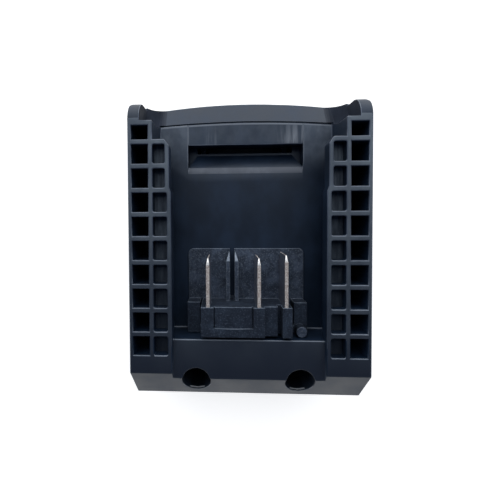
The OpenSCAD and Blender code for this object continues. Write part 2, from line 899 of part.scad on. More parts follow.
// Tall part of the block: a post at each blade, a web between them and a wing at each side
module block_body() {
    left = positive_x - post_out_w;
    right = negative_x + post_in_w;
    low = floor_z;
    box([left, block_back_y, low], [right, block_front_y, post_z - filler_drop]);
    box([left, block_back_y, low], [signal_x + post_in_w, block_front_y, web_z]);
    box([left, block_back_y, low], [signal_x + post_in_w, block_front_y - panel_len, post_z]);
    box([left, block_back_y, low], [positive_x + post_in_w, block_front_y, post_z]);
    box([signal_x - post_in_w, block_back_y, low], [signal_x + post_in_w, block_front_y, post_z]);
    box([negative_x - post_in_w, block_back_y, low], [right, block_front_y, post_z]);
    back = stop_wall_y + 2 * seat_gap;
    both_sides()
        box([block_w / 2 - wing_w, back, low], [block_w / 2, block_front_y, wing_z]);
    box([-block_w / 2, back, low], [block_w / 2, block_back_y + wall, wing_z]);
    translate([wing_x - wing_w / 12, back + key_r + seat_gap, low])
        cylinder(r = key_r, h = wing_h + key_h);
}

// Pair of ribs on the plate that keep a wrong battery out, pointed and sloped at their free ends
module coding_ribs() {
    half = coding_t / 2;
    root_y = block_front_y - wall / 2;
    low_z = plate_z - plate_t / 2;
    for (side = [-1, 1])
        intersection() {
            translate([coding_x + side * coding_pitch / 2, 0, low_z])
                linear_extrude(coding_h + plate_t)
                    polygon([
                        [-half, root_y],
                        [half, root_y],
                        [half, plate_front_y - (side > 0 ? coding_tip : coding_tip / 3)],
                        [-side * half / 3, plate_front_y - plate_r / 2],
                        [-half, plate_front_y - (side > 0 ? coding_tip / 3 : coding_tip)]
                    ]);
            across(coding_x + side * coding_pitch / 2, 2 * coding_t)
                polygon([
                    [root_y - over, low_z - over],
                    [plate_front_y, low_z - over],
                    [plate_front_y, plate_z + plate_t],
                    [plate_front_y - coding_tip, plate_z + coding_h],
                    [root_y - over, plate_z + coding_h]
                ]);
        }
}

// Filled moulding that carries the three blades
module terminal_block() {
    color(block_plastic)
        difference() {
            union() {
                block_plate();
                block_body();
                coding_ribs();
            }
            for (x = [positive_x, signal_x, negative_x]) {
                half = blade_t / 2 + seat_gap;
                box(
                    [x - half, blade_back_y - seat_gap, plate_z],
                    [x + half, block_front_y + over, blade_z + seat_gap]
                );
                box(
                    [x - half, blade_back_y - seat_gap, floor_z - over],
                    [x + half, blade_back_y + tail_w + seat_gap, plate_z + over]
                );
            }
            translate([negative_x - post_slot_in, 0, post_z - filler_drop - post_slot_depth])
                box(
                    [-post_slot_w, block_back_y - over, 0],
                    [0, block_front_y + over, filler_drop + post_slot_depth + over]
                );
            for (x = [positive_x + post_in_w, signal_x - post_in_w - panel_line_w])
                box(
                    [x, block_front_y - panel_len, web_z - 2 * panel_line_w],
                    [x + panel_line_w, block_front_y + over, post_z + over]
                );
            across(coding_x, coding_pitch - coding_t - 2 * seat_gap)
                polygon([
                    [block_front_y + wall / 2, floor_z - over],
                    [plate_front_y + over, floor_z - over],
                    [plate_front_y + over, plate_z + over],
                    [block_front_y + wall / 2, plate_z + over]
                ]);
            both_sides()
                translate([wing_x, block_screw_y, floor_z - over])
                    cylinder(r = small_screw_r + screw_gap, h = block_screw_len - floor_t + 1.5 * over);
        }
}

// Contact blade: a bevelled bare length, a tail through the floor and a tab for the lead
module blade(x, bare) {
    tip = block_front_y + bare;
    low = plate_z + seat_gap;
    difference() {
        across(x, blade_t)
            polygon([
                [blade_back_y, tab_z],
                [tab_y, tab_z],
                [tab_y, tab_z + tab_h],
                [blade_back_y + tail_w, tab_z + tab_h],
                [blade_back_y + tail_w, low],
                [tip, low],
                [tip, blade_z - blade_nose / 2],
                [tip - blade_nose, blade_z],
                [blade_back_y, blade_z]
            ]);
        for (side = [-1, 1])
            translate([x, 0, low - over])
                linear_extrude(blade_z)
                    polygon([
                        [side * blade_t / 2, tip - blade_nose],
                        [side * (blade_t / 2 + over), tip - blade_nose],
                        [side * (blade_t / 2 + over), tip + over],
                        [side * blade_t / 6, tip + over],
                        [side * blade_t / 6, tip]
                    ]);
    }
}

module positive_blade() {
    color(nickel)
        blade(positive_x, blade_len);
}

module signal_blade() {
    color(nickel)
        blade(signal_x, blade_len);
}

module negative_blade() {
    color(nickel)
        blade(negative_x, blade_len + blade_lead);
}

// Pan-head screw along +Z, with its head below the given point and a cross slot
module screw(r, len, head_r, head_h) {
    slot = head_r / 4;
    depth = head_h / 2;
    cylinder(r = r, h = len);
    difference() {
        translate([0, 0, -head_h])
            cylinder(r = head_r, h = head_h);
        for (turn = [0, 90])
            rotate([0, 0, turn])
                translate([-head_r * 0.7, -slot / 2, -head_h - over])
                    cube([head_r * 1.4, slot, depth + over]);
    }
}

module block_screws() {
    color(steel)
        both_sides()
            translate([wing_x, block_screw_y, under_floor_z])
                screw(small_screw_r, block_screw_len, small_head_r, small_head_h);
}

// Block in the deck that holds the three tool contacts
module contact_holder() {
    half = holder_x;
    color(block_plastic)
        difference() {
            union() {
                box([-half, holder_y, wall], [half, holder_back_y, holder_z]);
                both_sides()
                    translate([holder_screw_x, holder_screw_y, holder_ear_z])
                        cylinder(r = holder_ear_w / 2, h = wall);
                both_sides()
                    box(
                        [half - wall, holder_screw_y - holder_ear_w / 2, holder_ear_z],
                        [holder_screw_x, holder_screw_y + holder_ear_w / 2, holder_ear_z + wall]
                    );
            }
            for (x = [positive_x, signal_x, negative_x]) {
                box(
                    [x - chamber_w / 2, holder_y - over, chamber_z - seat_gap],
                    [x + chamber_w / 2, clip_back_y + seat_gap, chamber_z + clip_h + seat_gap]
                );
                box(
                    [x - slot_w / 2, holder_y - over, wall - over],
                    [x + slot_w / 2, clip_back_y - wall, chamber_z + over]
                );
                box(
                    [x - clip_t / 2 - seat_gap, clip_back_y - over, clip_mid_z - clip_tail_h / 2 - seat_gap],
                    [x + clip_t / 2 + seat_gap, holder_back_y + over, clip_mid_z + clip_tail_h / 2 + seat_gap]
                );
            }
            both_sides()
                translate([holder_screw_x, holder_screw_y, wall])
                    cylinder(r = small_screw_r + screw_gap, h = body_h);
        }
}

// Sprung contact: two leaves that close on the tool's blade, a back and a solder tail
module clip(x) {
    root = chamber_w / 2 - 2 * seat_gap;
    grip = clip_gap / 2;
    grip_y = clip_back_y - clip_len * 0.75;
    mouth_y = clip_back_y - clip_len;
    root_y = clip_back_y - clip_len * 0.25;
    translate([x, 0, chamber_z])
        linear_extrude(clip_h) {
            both_sides()
                polygon([
                    [root, clip_back_y],
                    [root, root_y],
                    [grip + clip_t, grip_y],
                    [root, mouth_y],
                    [root - clip_t, mouth_y],
                    [grip, grip_y],
                    [root - clip_t, root_y],
                    [root - clip_t, clip_back_y]
                ]);
            translate([-root, clip_back_y - clip_t])
                square([2 * root, clip_t]);
        }
    box(
        [x - clip_t / 2, clip_back_y - clip_t, clip_mid_z - clip_tail_h / 2],
        [x + clip_t / 2, clip_tail_y, clip_mid_z + clip_tail_h / 2]
    );
}

module positive_clip() {
    color(brass)
        clip(positive_x);
}

module signal_clip() {
    color(brass)
        clip(signal_x);
}

module negative_clip() {
    color(brass)
        clip(negative_x);
}

module holder_screws() {
    color(steel)
        both_sides()
            translate([holder_screw_x, holder_screw_y, holder_ear_z + wall])
                mirror([0, 0, 1])
                    screw(small_screw_r, holder_screw_len, small_head_r, small_head_h);
}

// Insulated lead from a blade's tab, round one bend, back to a contact's tail
module lead(x, d) {
    bend_y = tab_y + lead_run;
    translate([x, tab_y, tab_mid_z])
        rotate([-90, 0, 0])
            cylinder(d = d, h = lead_run);
    translate([x, bend_y, clip_mid_z + bend_r])
        rotate([90, 0, 90])
            rotate([0, 0, -90])
                rotate_extrude(angle = 180)
                    translate([bend_r, 0])
                        circle(d = d);
    translate([x, clip_tail_y, clip_mid_z])
        rotate([-90, 0, 0])
            cylinder(d = d, h = bend_y - clip_tail_y);
}

module positive_lead() {
    color([0.62, 0.08, 0.07])
        lead(positive_x, power_lead_d);
}

module signal_lead() {
    color([0.75, 0.65, 0.15])
        lead(signal_x, signal_lead_d);
}

module negative_lead() {
    color([0.07, 0.07, 0.08])
        lead(negative_x, power_lead_d);
}

// Shrink sleeves over the two soldered ends of a lead
module sleeves(x, d) {
    inner = max(d, norm([tab_h, blade_t])) / 2 + sleeve_gap;
    for (end = [[tab_y, tab_mid_z], [clip_tail_y, clip_mid_z]])
        translate([x, end[0] + sleeve_grip - sleeve_len, end[1]])
            rotate([-90, 0, 0])
                difference() {
                    cylinder(r = inner + sleeve_t, h = sleeve_len);
                    translate([0, 0, -over])
                        cylinder(r = inner, h = sleeve_len + 2 * over);
                }
}

module positive_sleeves() {
    color([0.55, 0.10, 0.10])
        sleeves(positive_x, power_lead_d);
}

module signal_sleeves() {
    color([0.80, 0.80, 0.78])
        sleeves(signal_x, signal_lead_d);
}

module negative_sleeves() {
    color([0.10, 0.10, 0.11])
        sleeves(negative_x, power_lead_d);
}

// Thumb button with grip grooves across its face
module thumb_button() {
    half = button_w / 2;
    difference() {
        box([-half, latch_front_y - wall, button_z], [half, button_face_y, button_z + button_h]);
        for (i = [1 : grip_count])
            translate([0, 0, button_z + (2 * i - 1) * grip_w])
                box(
                    [2 * grip_w - half, button_face_y - button_proud / 2, 0],
                    [half - 2 * grip_w, button_face_y + over, grip_w]
                );
    }
}

// Sliding latch: hook below, plate inside, thumb button at the entry end
module release_latch() {
    color(black_plastic) {
        box([-latch_w / 2, latch_back_y, latch_z], [latch_w / 2, latch_front_y, latch_top_z]);
        across(0, hook_w)
            polygon([
                [hook_near_y, latch_top_z],
                [hook_near_y, notch_depth],
                [hook_far_y - wall, hook_clear],
                [hook_far_y, hook_clear],
                [hook_far_y, latch_top_z]
            ]);
        box(
            [-button_w / 2, latch_front_y - wall, latch_z],
            [button_w / 2, latch_front_y, button_z + button_h]
        );
        thumb_button();
        both_sides()
            translate([spring_x, spring_y, latch_z])
                cylinder(r = peg_r, h = latch_t + peg_h);
    }
}

// Points on the middle line of a latch spring
function coil_point(i, steps) =
    let (turn = 360 * spring_turns * i / steps)
    [
        spring_mid_r * cos(turn),
        spring_mid_r * sin(turn),
        spring_wire / 2 + (spring_len - spring_wire) * i / steps
    ];

// One ring of wire points around a place on the coil
function wire_ring(i, steps, sides) =
    let (
        mid = coil_point(i, steps),
        turn = 360 * spring_turns * i / steps,
        out = [cos(turn), sin(turn), 0]
    )
    [for (k = [0 : sides - 1])
        mid + spring_wire / 2 * (cos(360 * k / sides) * out + sin(360 * k / sides) * [0, 0, 1])];

// Compression spring as one unbroken tube
module coil_spring() {
    rings = 8;
    sides = 6;
    steps = rings * spring_turns;
    points = [for (i = [0 : steps]) each wire_ring(i, steps, sides)];
    walls = [for (i = [0 : steps - 1], k = [0 : sides - 1])
        let (
            a = i * sides + k,
            b = i * sides + (k + 1) % sides
        )
        each [[a, a + sides, b], [b, a + sides, b + sides]]];
    start = [for (k = [1 : sides - 2]) [0, k, k + 1]];
    end = [for (k = [1 : sides - 2]) [steps * sides, steps * sides + k + 1, steps * sides + k]];
    polyhedron(points, concat(walls, start, end));
}

// Least gap between one turn of a latch spring and the next
spring_self_gap = min([for (i = [0 : 8])
    norm(coil_point(8 + i, 8 * spring_turns) - coil_point(i, 8 * spring_turns))]) - spring_wire;
echo(spring_self_gap = spring_self_gap);

module latch_springs() {
    color(steel)
        for (side = [-1, 1])
            translate([side * spring_x, spring_y, latch_top_z])
                coil_spring();
}

module front_screws() {
    color(steel)
        both_sides()
            translate([well_x, well_y, well_floor_z])
                mirror([0, 0, 1])
                    screw(screw_r, front_screw_len, screw_head_r, screw_head_h);
}

module rear_screws() {
    color(steel)
        both_sides()
            translate([rear_screw_x, rear_screw_y, rear_head_z])
                screw(screw_r, rear_screw_len, screw_head_r, screw_head_h);
}

battery_shell();
tool_shell();
terminal_block();
positive_blade();
signal_blade();
negative_blade();
block_screws();
contact_holder();
positive_clip();
signal_clip();
negative_clip();
holder_screws();
positive_lead();
signal_lead();
negative_lead();
positive_sleeves();
signal_sleeves();
negative_sleeves();
release_latch();
latch_springs();
front_screws();
rear_screws();
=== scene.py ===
"""Looks of a slide-on tool battery adapter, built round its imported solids."""

import logging
import math
from collections.abc import Callable, Iterable
from dataclasses import dataclass
from enum import Enum, IntEnum
from functools import cache
from typing import Any

import bmesh
import bpy
from mathutils import Matrix, Quaternion, Vector


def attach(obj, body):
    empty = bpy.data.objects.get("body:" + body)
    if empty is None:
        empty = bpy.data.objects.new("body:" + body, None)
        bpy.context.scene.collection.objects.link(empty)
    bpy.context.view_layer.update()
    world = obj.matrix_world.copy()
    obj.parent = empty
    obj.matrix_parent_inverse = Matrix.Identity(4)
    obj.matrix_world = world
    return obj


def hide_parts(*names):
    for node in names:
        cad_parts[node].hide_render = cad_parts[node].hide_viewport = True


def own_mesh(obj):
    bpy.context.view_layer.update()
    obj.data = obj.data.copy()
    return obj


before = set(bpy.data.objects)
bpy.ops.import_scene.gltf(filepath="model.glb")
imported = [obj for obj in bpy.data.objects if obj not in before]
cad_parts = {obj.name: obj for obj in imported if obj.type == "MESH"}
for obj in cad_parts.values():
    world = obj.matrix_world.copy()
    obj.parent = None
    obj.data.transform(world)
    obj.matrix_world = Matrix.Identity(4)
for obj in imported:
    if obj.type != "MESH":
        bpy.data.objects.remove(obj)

LOG = logging.getLogger("adapter")
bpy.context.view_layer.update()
MM = 0.001
FRAME_PX = 500
HOUSING = "housing"
LATCH = "latch"
# Edges that turn by more than CREASE are rounded, and faces that turn by less than FLAT are one face
CREASE = math.radians(30)
FLAT = math.radians(1)
# Corners closer than WELD are one corner, and a cut goes through corners closer than CUT_SLACK, in metres
WELD = 2e-6
CUT_SLACK = 1e-7
# Places closer than this are taken as the same
SNUG_MM = 0.1
# Where the positive, signal and negative lines cross the adapter
LINES_MM = (-13.35, 3.7, 12.7)
BOTH_SIDES = (-1, 1)

Socket = bpy.types.NodeSocket
Tree = bpy.types.NodeTree
Node = bpy.types.Node
Piece = bpy.types.Object
Triple = tuple[float, float, float]
Pair = tuple[float, float]


class Pole(Enum):
    """The lines that cross the adapter, by the first word of their nodes."""

    POSITIVE = "positive"
    SIGNAL = "signal"
    NEGATIVE = "negative"


class Facing(Enum):
    """Way that a screw's head faces, as its turn about X."""

    DOWN = 0.0
    UP = math.pi


# Material slots of the battery shell, whose scoops have all slots from the last one on
ShellSlot = IntEnum("ShellSlot", "BODY RIM TOP POCKET GLINT WELL CATCH SCOOP", start=0)
# Material slots of the terminal carrier and of a contact blade
CarrierSlot = IntEnum("CarrierSlot", "BODY RIM SCUFF TIP", start=0)
BladeSlot = IntEnum("BladeSlot", "SIDE EDGE NOSE", start=0)


def linear(hex_code: str) -> tuple[float, float, float, float]:
    """Turns an sRGB hex colour into linear values.

    Args:
        hex_code: Six hex digits after a hash sign.

    Returns:
        Red, green, blue and an alpha of one.
    """
    parts = [int(hex_code[i:i + 2], 16) / 255 for i in (1, 3, 5)]
    red, green, blue = (
        p / 12.92 if p <= 0.04045 else ((p + 0.055) / 1.055) ** 2.4 for p in parts
    )
    return red, green, blue, 1.0


def add_node(tree: Tree, kind: str, inputs: dict[str | int, Any] | None = None, **settings: Any) -> Node:
    """Adds one node with its settings and inputs.

    Args:
        tree: Tree that takes the node.
        kind: Type of the node.
        inputs: What each input socket gets, by name or place: a value, or the output socket that feeds it.
        settings: Other properties of the node.

    Returns:
        The new node.
    """
    node = tree.nodes.new(kind)
    for key, value in settings.items():
        setattr(node, key, value)
    for key, value in (inputs or {}).items():
        if isinstance(value, Socket):
            tree.links.new(value, node.inputs[key])
        else:
            node.inputs[key].default_value = value
    return node


def new_material(name: str) -> tuple[bpy.types.Material, Tree, Node]:
    """Makes a material with one shader.

    Args:
        name: Name of the material.

    Returns:
        The material, its tree and its shader.
    """
    material = bpy.data.materials.new(name)
    material.use_nodes = True
    tree = material.node_tree
    return material, tree, tree.nodes["Principled BSDF"]


def axes(tree: Tree, kind: str = "Object") -> list[Socket]:
    """Parts coordinates of one kind into their X, Y and Z."""
    place = add_node(tree, "ShaderNodeTexCoord").outputs[kind]
    return list(add_node(tree, "ShaderNodeSeparateXYZ", {0: place}).outputs)


def noise(tree: Tree, size_mm: Triple, detail: float, roughness: float) -> Socket:
    """Adds a noise pattern on Object coordinates.

    Args:
        tree: Tree that takes the nodes.
        size_mm: Size of a grain along each axis.
        detail: Number of finer layers.
        roughness: Weight of the finer layers.

    Returns:
        Value of the pattern.
    """
    place = add_node(tree, "ShaderNodeTexCoord")
    scale = tuple(1 / (size * MM) for size in size_mm)
    grains = add_node(tree, "ShaderNodeMapping", {"Vector": place.outputs["Object"], "Scale": scale})
    inputs = {"Vector": grains.outputs["Vector"], "Scale": 1.0, "Detail": detail, "Roughness": roughness}
    return add_node(tree, "ShaderNodeTexNoise", inputs).outputs["Fac"]


def ramp(
    tree: Tree, value: Socket, low: float = 0.0, high: float = 1.0,
    least: Socket | float = 0.0, most: float = 1.0, smooth: bool = True,
) -> Socket:
    """Maps one span of values to another, which holds at its ends.

    Args:
        tree: Tree that takes the node.
        value: Value to map.
        low: Start of the first span.
        high: End of the first span.
        least: Start of the second span.
        most: End of the second span.
        smooth: Whether it eases in and out.

    Returns:
        The mapped value.
    """
    inputs = {"Value": value, "From Min": low, "From Max": high, "To Min": least, "To Max": most}
    kind = "SMOOTHSTEP" if smooth else "LINEAR"
    return add_node(tree, "ShaderNodeMapRange", inputs, interpolation_type=kind).outputs["Result"]


def blend(tree: Tree, amount: Socket, first: Socket | str, second: Socket | str) -> Socket:
    """Mixes two colours, each a socket or a hex code, by the share of the second."""
    pair = {key: linear(c) if isinstance(c, str) else c for key, c in (("A", first), ("B", second))}
    return add_node(tree, "ShaderNodeMix", {"Factor": amount, **pair}, data_type="RGBA").outputs["Result"]


def calc(tree: Tree, how: str, *inputs: Socket | float) -> Socket:
    """Adds one step of arithmetic on values or sockets."""
    return add_node(tree, "ShaderNodeMath", dict(enumerate(inputs)), operation=how).outputs[0]


def coat(tree: Tree, shader: Node, tint: Socket, grain: Socket, bump_mm: float) -> None:
    """Gives a shader its colour and the bumps of its grain.

    Args:
        tree: Tree that takes the node.
        shader: The shader.
        tint: Its colour.
        grain: Height of the grain, from zero to one.
        bump_mm: Height of its bumps.
    """
    bump = add_node(tree, "ShaderNodeBump", {"Height": grain, "Strength": 1.0, "Distance": bump_mm * MM})
    tree.links.new(tint, shader.inputs["Base Color"])
    tree.links.new(bump.outputs["Normal"], shader.inputs["Normal"])


@dataclass(frozen=True)
class FloorWearAndSheen:
    """The channel floor's finish: a worn, polished zone near the entry that is partly painted sheen, two
    bunches of streaks left by sliding batteries, and a painted highlight along the floor's rounded end.
    """

    # Paler towards the entry: partly worn polish, partly painted sheen where the floor would reflect the lamp
    polish_and_sheen: str = "#5d6672"
    polish_and_sheen_y_mm: Pair = (24.0, 41.0)
    polish_and_sheen_most: float = 0.75
    mottle_mm: Triple = (5.0, 7.0, 5.0)
    mottle_least: float = 0.45
    # The floor beside the recess takes more of the polish and painted sheen than the run-in between
    run_in_mm: Pair = (20.5, 21.5)
    run_in_share: float = 0.42
    # Colour of the slide streaks and of the painted highlight along the floor's end
    mark_and_highlight: str = "#8b929c"
    stroke_mm: Triple = (1.5, 16.0, 9.0)
    stroke_most: float = 0.85
    # Slide marks, fainter towards the end line: many at the right of the run-in and a few at its left.
    # Each bunch has the X where it grows in, its strength, and its middle and reach across X
    stroke_y_mm: Pair = (37.0, 44.5)
    stroke_end: float = 0.35
    bunches: tuple[tuple[Pair, float, Pair], ...] = (
        ((9.0, 20.5), 1.0, (15.0, 6.0)),
        ((-16.5, -13.0), 0.25, (-13.3, 2.8)),
    )
    bunch_y_mm: Pair = (40.5, 4.1)
    # The floor ends in an arc round a point far behind the stop end, and a painted highlight runs along it,
    # where its rounded edge would catch the light
    arc_back_mm: float = 345.5
    line_mm: Pair = (389.1, 389.6)
    line_most: float = 0.7
    # Middle and reach of the floor's height, of its width, and of its distance from the arc's centre
    floor_z_mm: Pair = (23.95, 0.4)
    floor_x_mm: Pair = (0.0, 31.3)
    floor_arc_mm: Pair = (375.0, 15.2)

    def lay(self, tree: Tree, tint: Socket) -> Socket:
        """Lays the worn polish and streaks, the painted sheen and the painted highlight over a colour.

        Args:
            tree: Tree that takes the nodes.
            tint: Colour below them.

        Returns:
            The colour with them laid over it.
        """

        def grow(value: Socket, span_mm: Pair, least: float = 0.0, most: float = 1.0) -> Socket:
            """Maps a span in millimetres."""
            return ramp(tree, value, span_mm[0] * MM, span_mm[1] * MM, least, most)

        def near(value: Socket, band_mm: Pair) -> Socket:
            """Tells whether a value is within a reach of a middle."""
            return calc(tree, "COMPARE", value, band_mm[0] * MM, band_mm[1] * MM)

        def both(one: Socket, other: Socket) -> Socket:
            """Multiplies two shares."""
            return calc(tree, "MULTIPLY", one, other)

        x, y, z = axes(tree)
        mottle = noise(tree, self.mottle_mm, detail=3.0, roughness=0.55)
        mottle = ramp(tree, mottle, low=0.3, high=0.7, least=self.mottle_least)
        beside = grow(calc(tree, "ABSOLUTE", x), self.run_in_mm, self.run_in_share)
        # Polish towards the entry, partly painted sheen, mottled and weaker on the run-in
        wear_and_sheen = both(both(grow(y, self.polish_and_sheen_y_mm, most=self.polish_and_sheen_most), mottle), beside)
        right, left = (both(grow(x, span, most=most), near(x, band)) for span, most, band in self.bunches)
        strokes = noise(tree, self.stroke_mm, detail=2.0, roughness=0.55)
        strokes = ramp(tree, strokes, low=0.36, high=0.68, most=self.stroke_most)
        strokes = both(strokes, grow(y, self.stroke_y_mm, 1.0, self.stroke_end))
        marks_and_highlight = both(both(strokes, calc(tree, "MAXIMUM", right, left)), near(y, self.bunch_y_mm))
        along = calc(tree, "ADD", y, self.arc_back_mm * MM)
        span = add_node(tree, "ShaderNodeCombineXYZ", {"X": x, "Y": along}).outputs[0]
        reach = add_node(tree, "ShaderNodeVectorMath", {0: span}, operation="LENGTH").outputs["Value"]
        # Painted highlight along the floor's rounded end, added to the streaks
        marks_and_highlight = calc(tree, "MAXIMUM", marks_and_highlight, grow(reach, self.line_mm, most=self.line_most))
        on_floor = both(near(z, self.floor_z_mm), near(x, self.floor_x_mm))
        on_floor = both(on_floor, near(reach, self.floor_arc_mm))
        for amount, shade in ((wear_and_sheen, self.polish_and_sheen), (marks_and_highlight, self.mark_and_highlight)):
            tint = blend(tree, both(amount, on_floor), tint, shade)
        return tint


@dataclass(frozen=True)
class MouldedNylon:
    """Glass-filled nylon from a spark-eroded mould: near black, satin, cloudy where it was handled."""

    name: str
    deep: str
    pale: str
    roughness: Pair
    grain_mm: float = 0.5
    bump_mm: float = 0.012
    cloud_mm: float = 11.0
    stretch: float = 1.6
    sheen: str = "#e2efff"
    shine: float = 0.5
    dim: str = ""
    # Colour of the painted light band in a screw well
    lit_band: str = ""
    # Whether the channel floor's polish and streaks, painted sheen and painted highlight are laid on
    worn_and_sheened: bool = False
    # Y of the stop end and of the entry end, between which the dim colour, painted shade away from the lamp
    # at the entry end, gives way
    fade_mm: Pair = (-42.0, 34.0)
    # Rise of the sloped face along Y, and middle and reach of the painted light band below it, measured at Y
    # = 0
    slope: float = 0.945
    band_mm: Pair = (78.47, 0.5)

    @cache
    def material(self) -> bpy.types.Material:
        """Makes the plastic.

        Returns:
            The material.
        """
        material, tree, shader = new_material(self.name)
        cloud_size = (self.cloud_mm, self.cloud_mm * self.stretch, self.cloud_mm)
        cloud = noise(tree, cloud_size, detail=4.0, roughness=0.6)
        tint = blend(tree, ramp(tree, cloud, low=0.35, high=0.7), self.deep, self.pale)
        if self.worn_and_sheened:
            tint = FloorWearAndSheen().lay(tree, tint)
        if self.dim:
            tint = self._fade(tree, tint)
        if self.lit_band:
            tint = self._painted_light_in_well(tree, tint)
        grain = noise(tree, (self.grain_mm,) * 3, detail=2.0, roughness=0.7)
        coat(tree, shader, tint, grain, self.bump_mm)
        gloss = ramp(tree, cloud, 0.3, 0.75, *self.roughness, smooth=False)
        tree.links.new(gloss, shader.inputs["Roughness"])
        shader.inputs["Specular Tint"].default_value = linear(self.sheen)
        shader.inputs["Specular IOR Level"].default_value = self.shine
        return material

    def _fade(self, tree: Tree, tint: Socket) -> Socket:
        """Darkens a colour towards the stop end as painted shade, away from the lamp at the entry end."""
        along = ramp(tree, axes(tree)[1], *(end * MM for end in self.fade_mm), smooth=False)
        return blend(tree, along, self.dim, tint)

    def _painted_light_in_well(self, tree: Tree, tint: Socket) -> Socket:
        """Paints light on a band of a screw well's wall, just below the sloped face that the well breaks
        through, where the lamp reaches in.

        Args:
            tree: Tree that takes the nodes.
            tint: Colour of the wall.

        Returns:
            The colour with the painted light band.
        """
        _, y, z = axes(tree)
        level = calc(tree, "MULTIPLY_ADD", y, -self.slope, z)
        below_rim = calc(tree, "COMPARE", level, self.band_mm[0] * MM, self.band_mm[1] * MM)
        return blend(tree, below_rim, tint, self.lit_band)


@dataclass(frozen=True)
class FibreNylon:
    """Nylon with short glass fibres: matte and scuffed, with pale specks where fibres come to the surface."""

    name: str
    deep: str
    pale: str
    speck: str
    roughness: float
    speck_mm: float = 0.55
    speck_most: float = 0.55
    cloud_mm: float = 5.0
    bump_mm: float = 0.03
    sheen: str = "#d3e4ff"

    @cache
    def material(self) -> bpy.types.Material:
        """Makes the speckled plastic.

        Returns:
            The material.
        """
        material, tree, shader = new_material(self.name)
        fleck, cloud = (
            noise(tree, (size,) * 3, detail=3.0, roughness=0.75) for size in (self.speck_mm, self.cloud_mm)
        )
        ground = blend(tree, ramp(tree, cloud, low=0.4, high=0.68), self.deep, self.pale)
        amount = ramp(tree, fleck, low=0.5, high=0.72, most=self.speck_most)
        coat(tree, shader, blend(tree, amount, ground, self.speck), fleck, self.bump_mm)
        shader.inputs["Roughness"].default_value = self.roughness
        shader.inputs["Specular Tint"].default_value = linear(self.sheen)
        return material


@dataclass(frozen=True)
class GrainyMetal:
    """Plated or drawn metal: bright, with a fine grain that breaks up its reflections."""

    name: str
    bright: str
    dull: str
    roughness: Pair
    grain_mm: float = 0.6
    bump_mm: float = 0.0015

    @cache
    def material(self) -> bpy.types.Material:
        """Makes the metal.

        Returns:
            The material.
        """
        material, tree, shader = new_material(self.name)
        grain = noise(tree, (self.grain_mm,) * 3, detail=3.0, roughness=0.6)
        spread = ramp(tree, grain, low=0.35, high=0.65, smooth=False)
        coat(tree, shader, blend(tree, spread, self.bright, self.dull), grain, self.bump_mm)
        gloss = ramp(tree, spread, 0.0, 1.0, *self.roughness, smooth=False)
        tree.links.new(gloss, shader.inputs["Roughness"])
        shader.inputs["Metallic"].default_value = 1.0
        return material


Finish = MouldedNylon | FibreNylon | GrainyMetal

# Both shells: black glass-filled nylon, so the eye sees a cool satin black that greys where light grazes it
# On the channel floor it also takes a polish near the entry that is partly painted sheen, and a painted
# highlight along the floor's end
SHELL = MouldedNylon("glass_filled_nylon_black", "#081525", "#122236", (0.42, 0.54), worn_and_sheened=True)
# Rims of the shells: a thin bright line painted on the roundings as a highlight, dimmer towards the stop end
# as painted shade
SHELL_RIM = MouldedNylon("glass_filled_nylon_worn_rim", "#3c4554", "#566070", (0.36, 0.48), dim="#232b37")
# Brighter painted highlight on roundings that face up towards the lamp at the entry end, and on the upward
# roundings at the outer sides, the recess steps and the lower rims of the screw wells
SHELL_GLINT = MouldedNylon("glass_filled_nylon_polished_edge", "#565e69", "#6b737e", (0.34, 0.44))
# Up-facing tops of the rails: a paler grey as painted light, which the floor down in the channel doesn't get,
# darker towards the stop end as painted shade
SHELL_TOP = MouldedNylon("glass_filled_nylon_slide_face", "#49525d", "#606a73", (0.46, 0.56), dim="#1a202c")
# Floors of the shallow pockets: paler as painted light, streaked along the rails, and darker towards the stop
# end as painted shade
SHELL_POCKET = MouldedNylon(
    "glass_filled_nylon_pocket", "#28313c", "#56616c", (0.5, 0.6), cloud_mm=1.1, stretch=7.0, dim="#141a24"
)
# Bevel at the recess, where the battery's catch drops in: an even paler grey, painted light on a face that
# tilts towards the lamp
SHELL_CATCH = MouldedNylon(
    "glass_filled_nylon_catch_bevel", "#383f4a", "#505762", (0.46, 0.56), sheen="#f0f5ff"
)
# Walls of the screw wells that face the lamp: dark, with a pale band below the rim as painted light where the
# lamp reaches in
SHELL_WELL = MouldedNylon("glass_filled_nylon_well", "#0c121c", "#161d29", (0.42, 0.54), lit_band="#b9bfc6")
# Scoops beside the ears: copies with less sheen the more a face turns sideways, painted shade in the scoops
SHELL_SCOOPS = tuple(
    MouldedNylon(f"glass_filled_nylon_coarse_{step}", "#1d222c", "#2a303c", (0.6, 0.7), shine=shine)
    for step, shine in enumerate((0.34, 0.23, 0.11, 0.05), 1)
)
# Acetal, denser and a little glossier than the shells
LATCH_ACETAL = MouldedNylon("acetal_black", "#0e1117", "#171b22", (0.30, 0.40))
# Roundings of the latch: paler as a painted highlight
LATCH_RIM = MouldedNylon("acetal_worn_rim", "#1f242c", "#2c333d", (0.28, 0.38))
# Terminal carrier: matte grey-black with fibre specks, and a painted highlight on the roundings that face the
# entry end
CARRIER = FibreNylon("glass_fibre_nylon_matte", "#151b25", "#242d39", "#566171", 0.56)
CARRIER_RIM = FibreNylon("glass_fibre_nylon_rubbed_edge", "#434c58", "#58626e", "#949da8", 0.48)
# Flat plate, tops of the coding ribs and round key, scuffed by the battery's terminal cover
CARRIER_SCUFF = FibreNylon("glass_fibre_nylon_scuffed", "#29303b", "#465060", "#7b8592", 0.52)
# Tips of the coding ribs: pale as a painted highlight where they slope up
CARRIER_TIP = FibreNylon("glass_fibre_nylon_polished_tip", "#717a86", "#8d96a2", "#b9c1ca", 0.4)
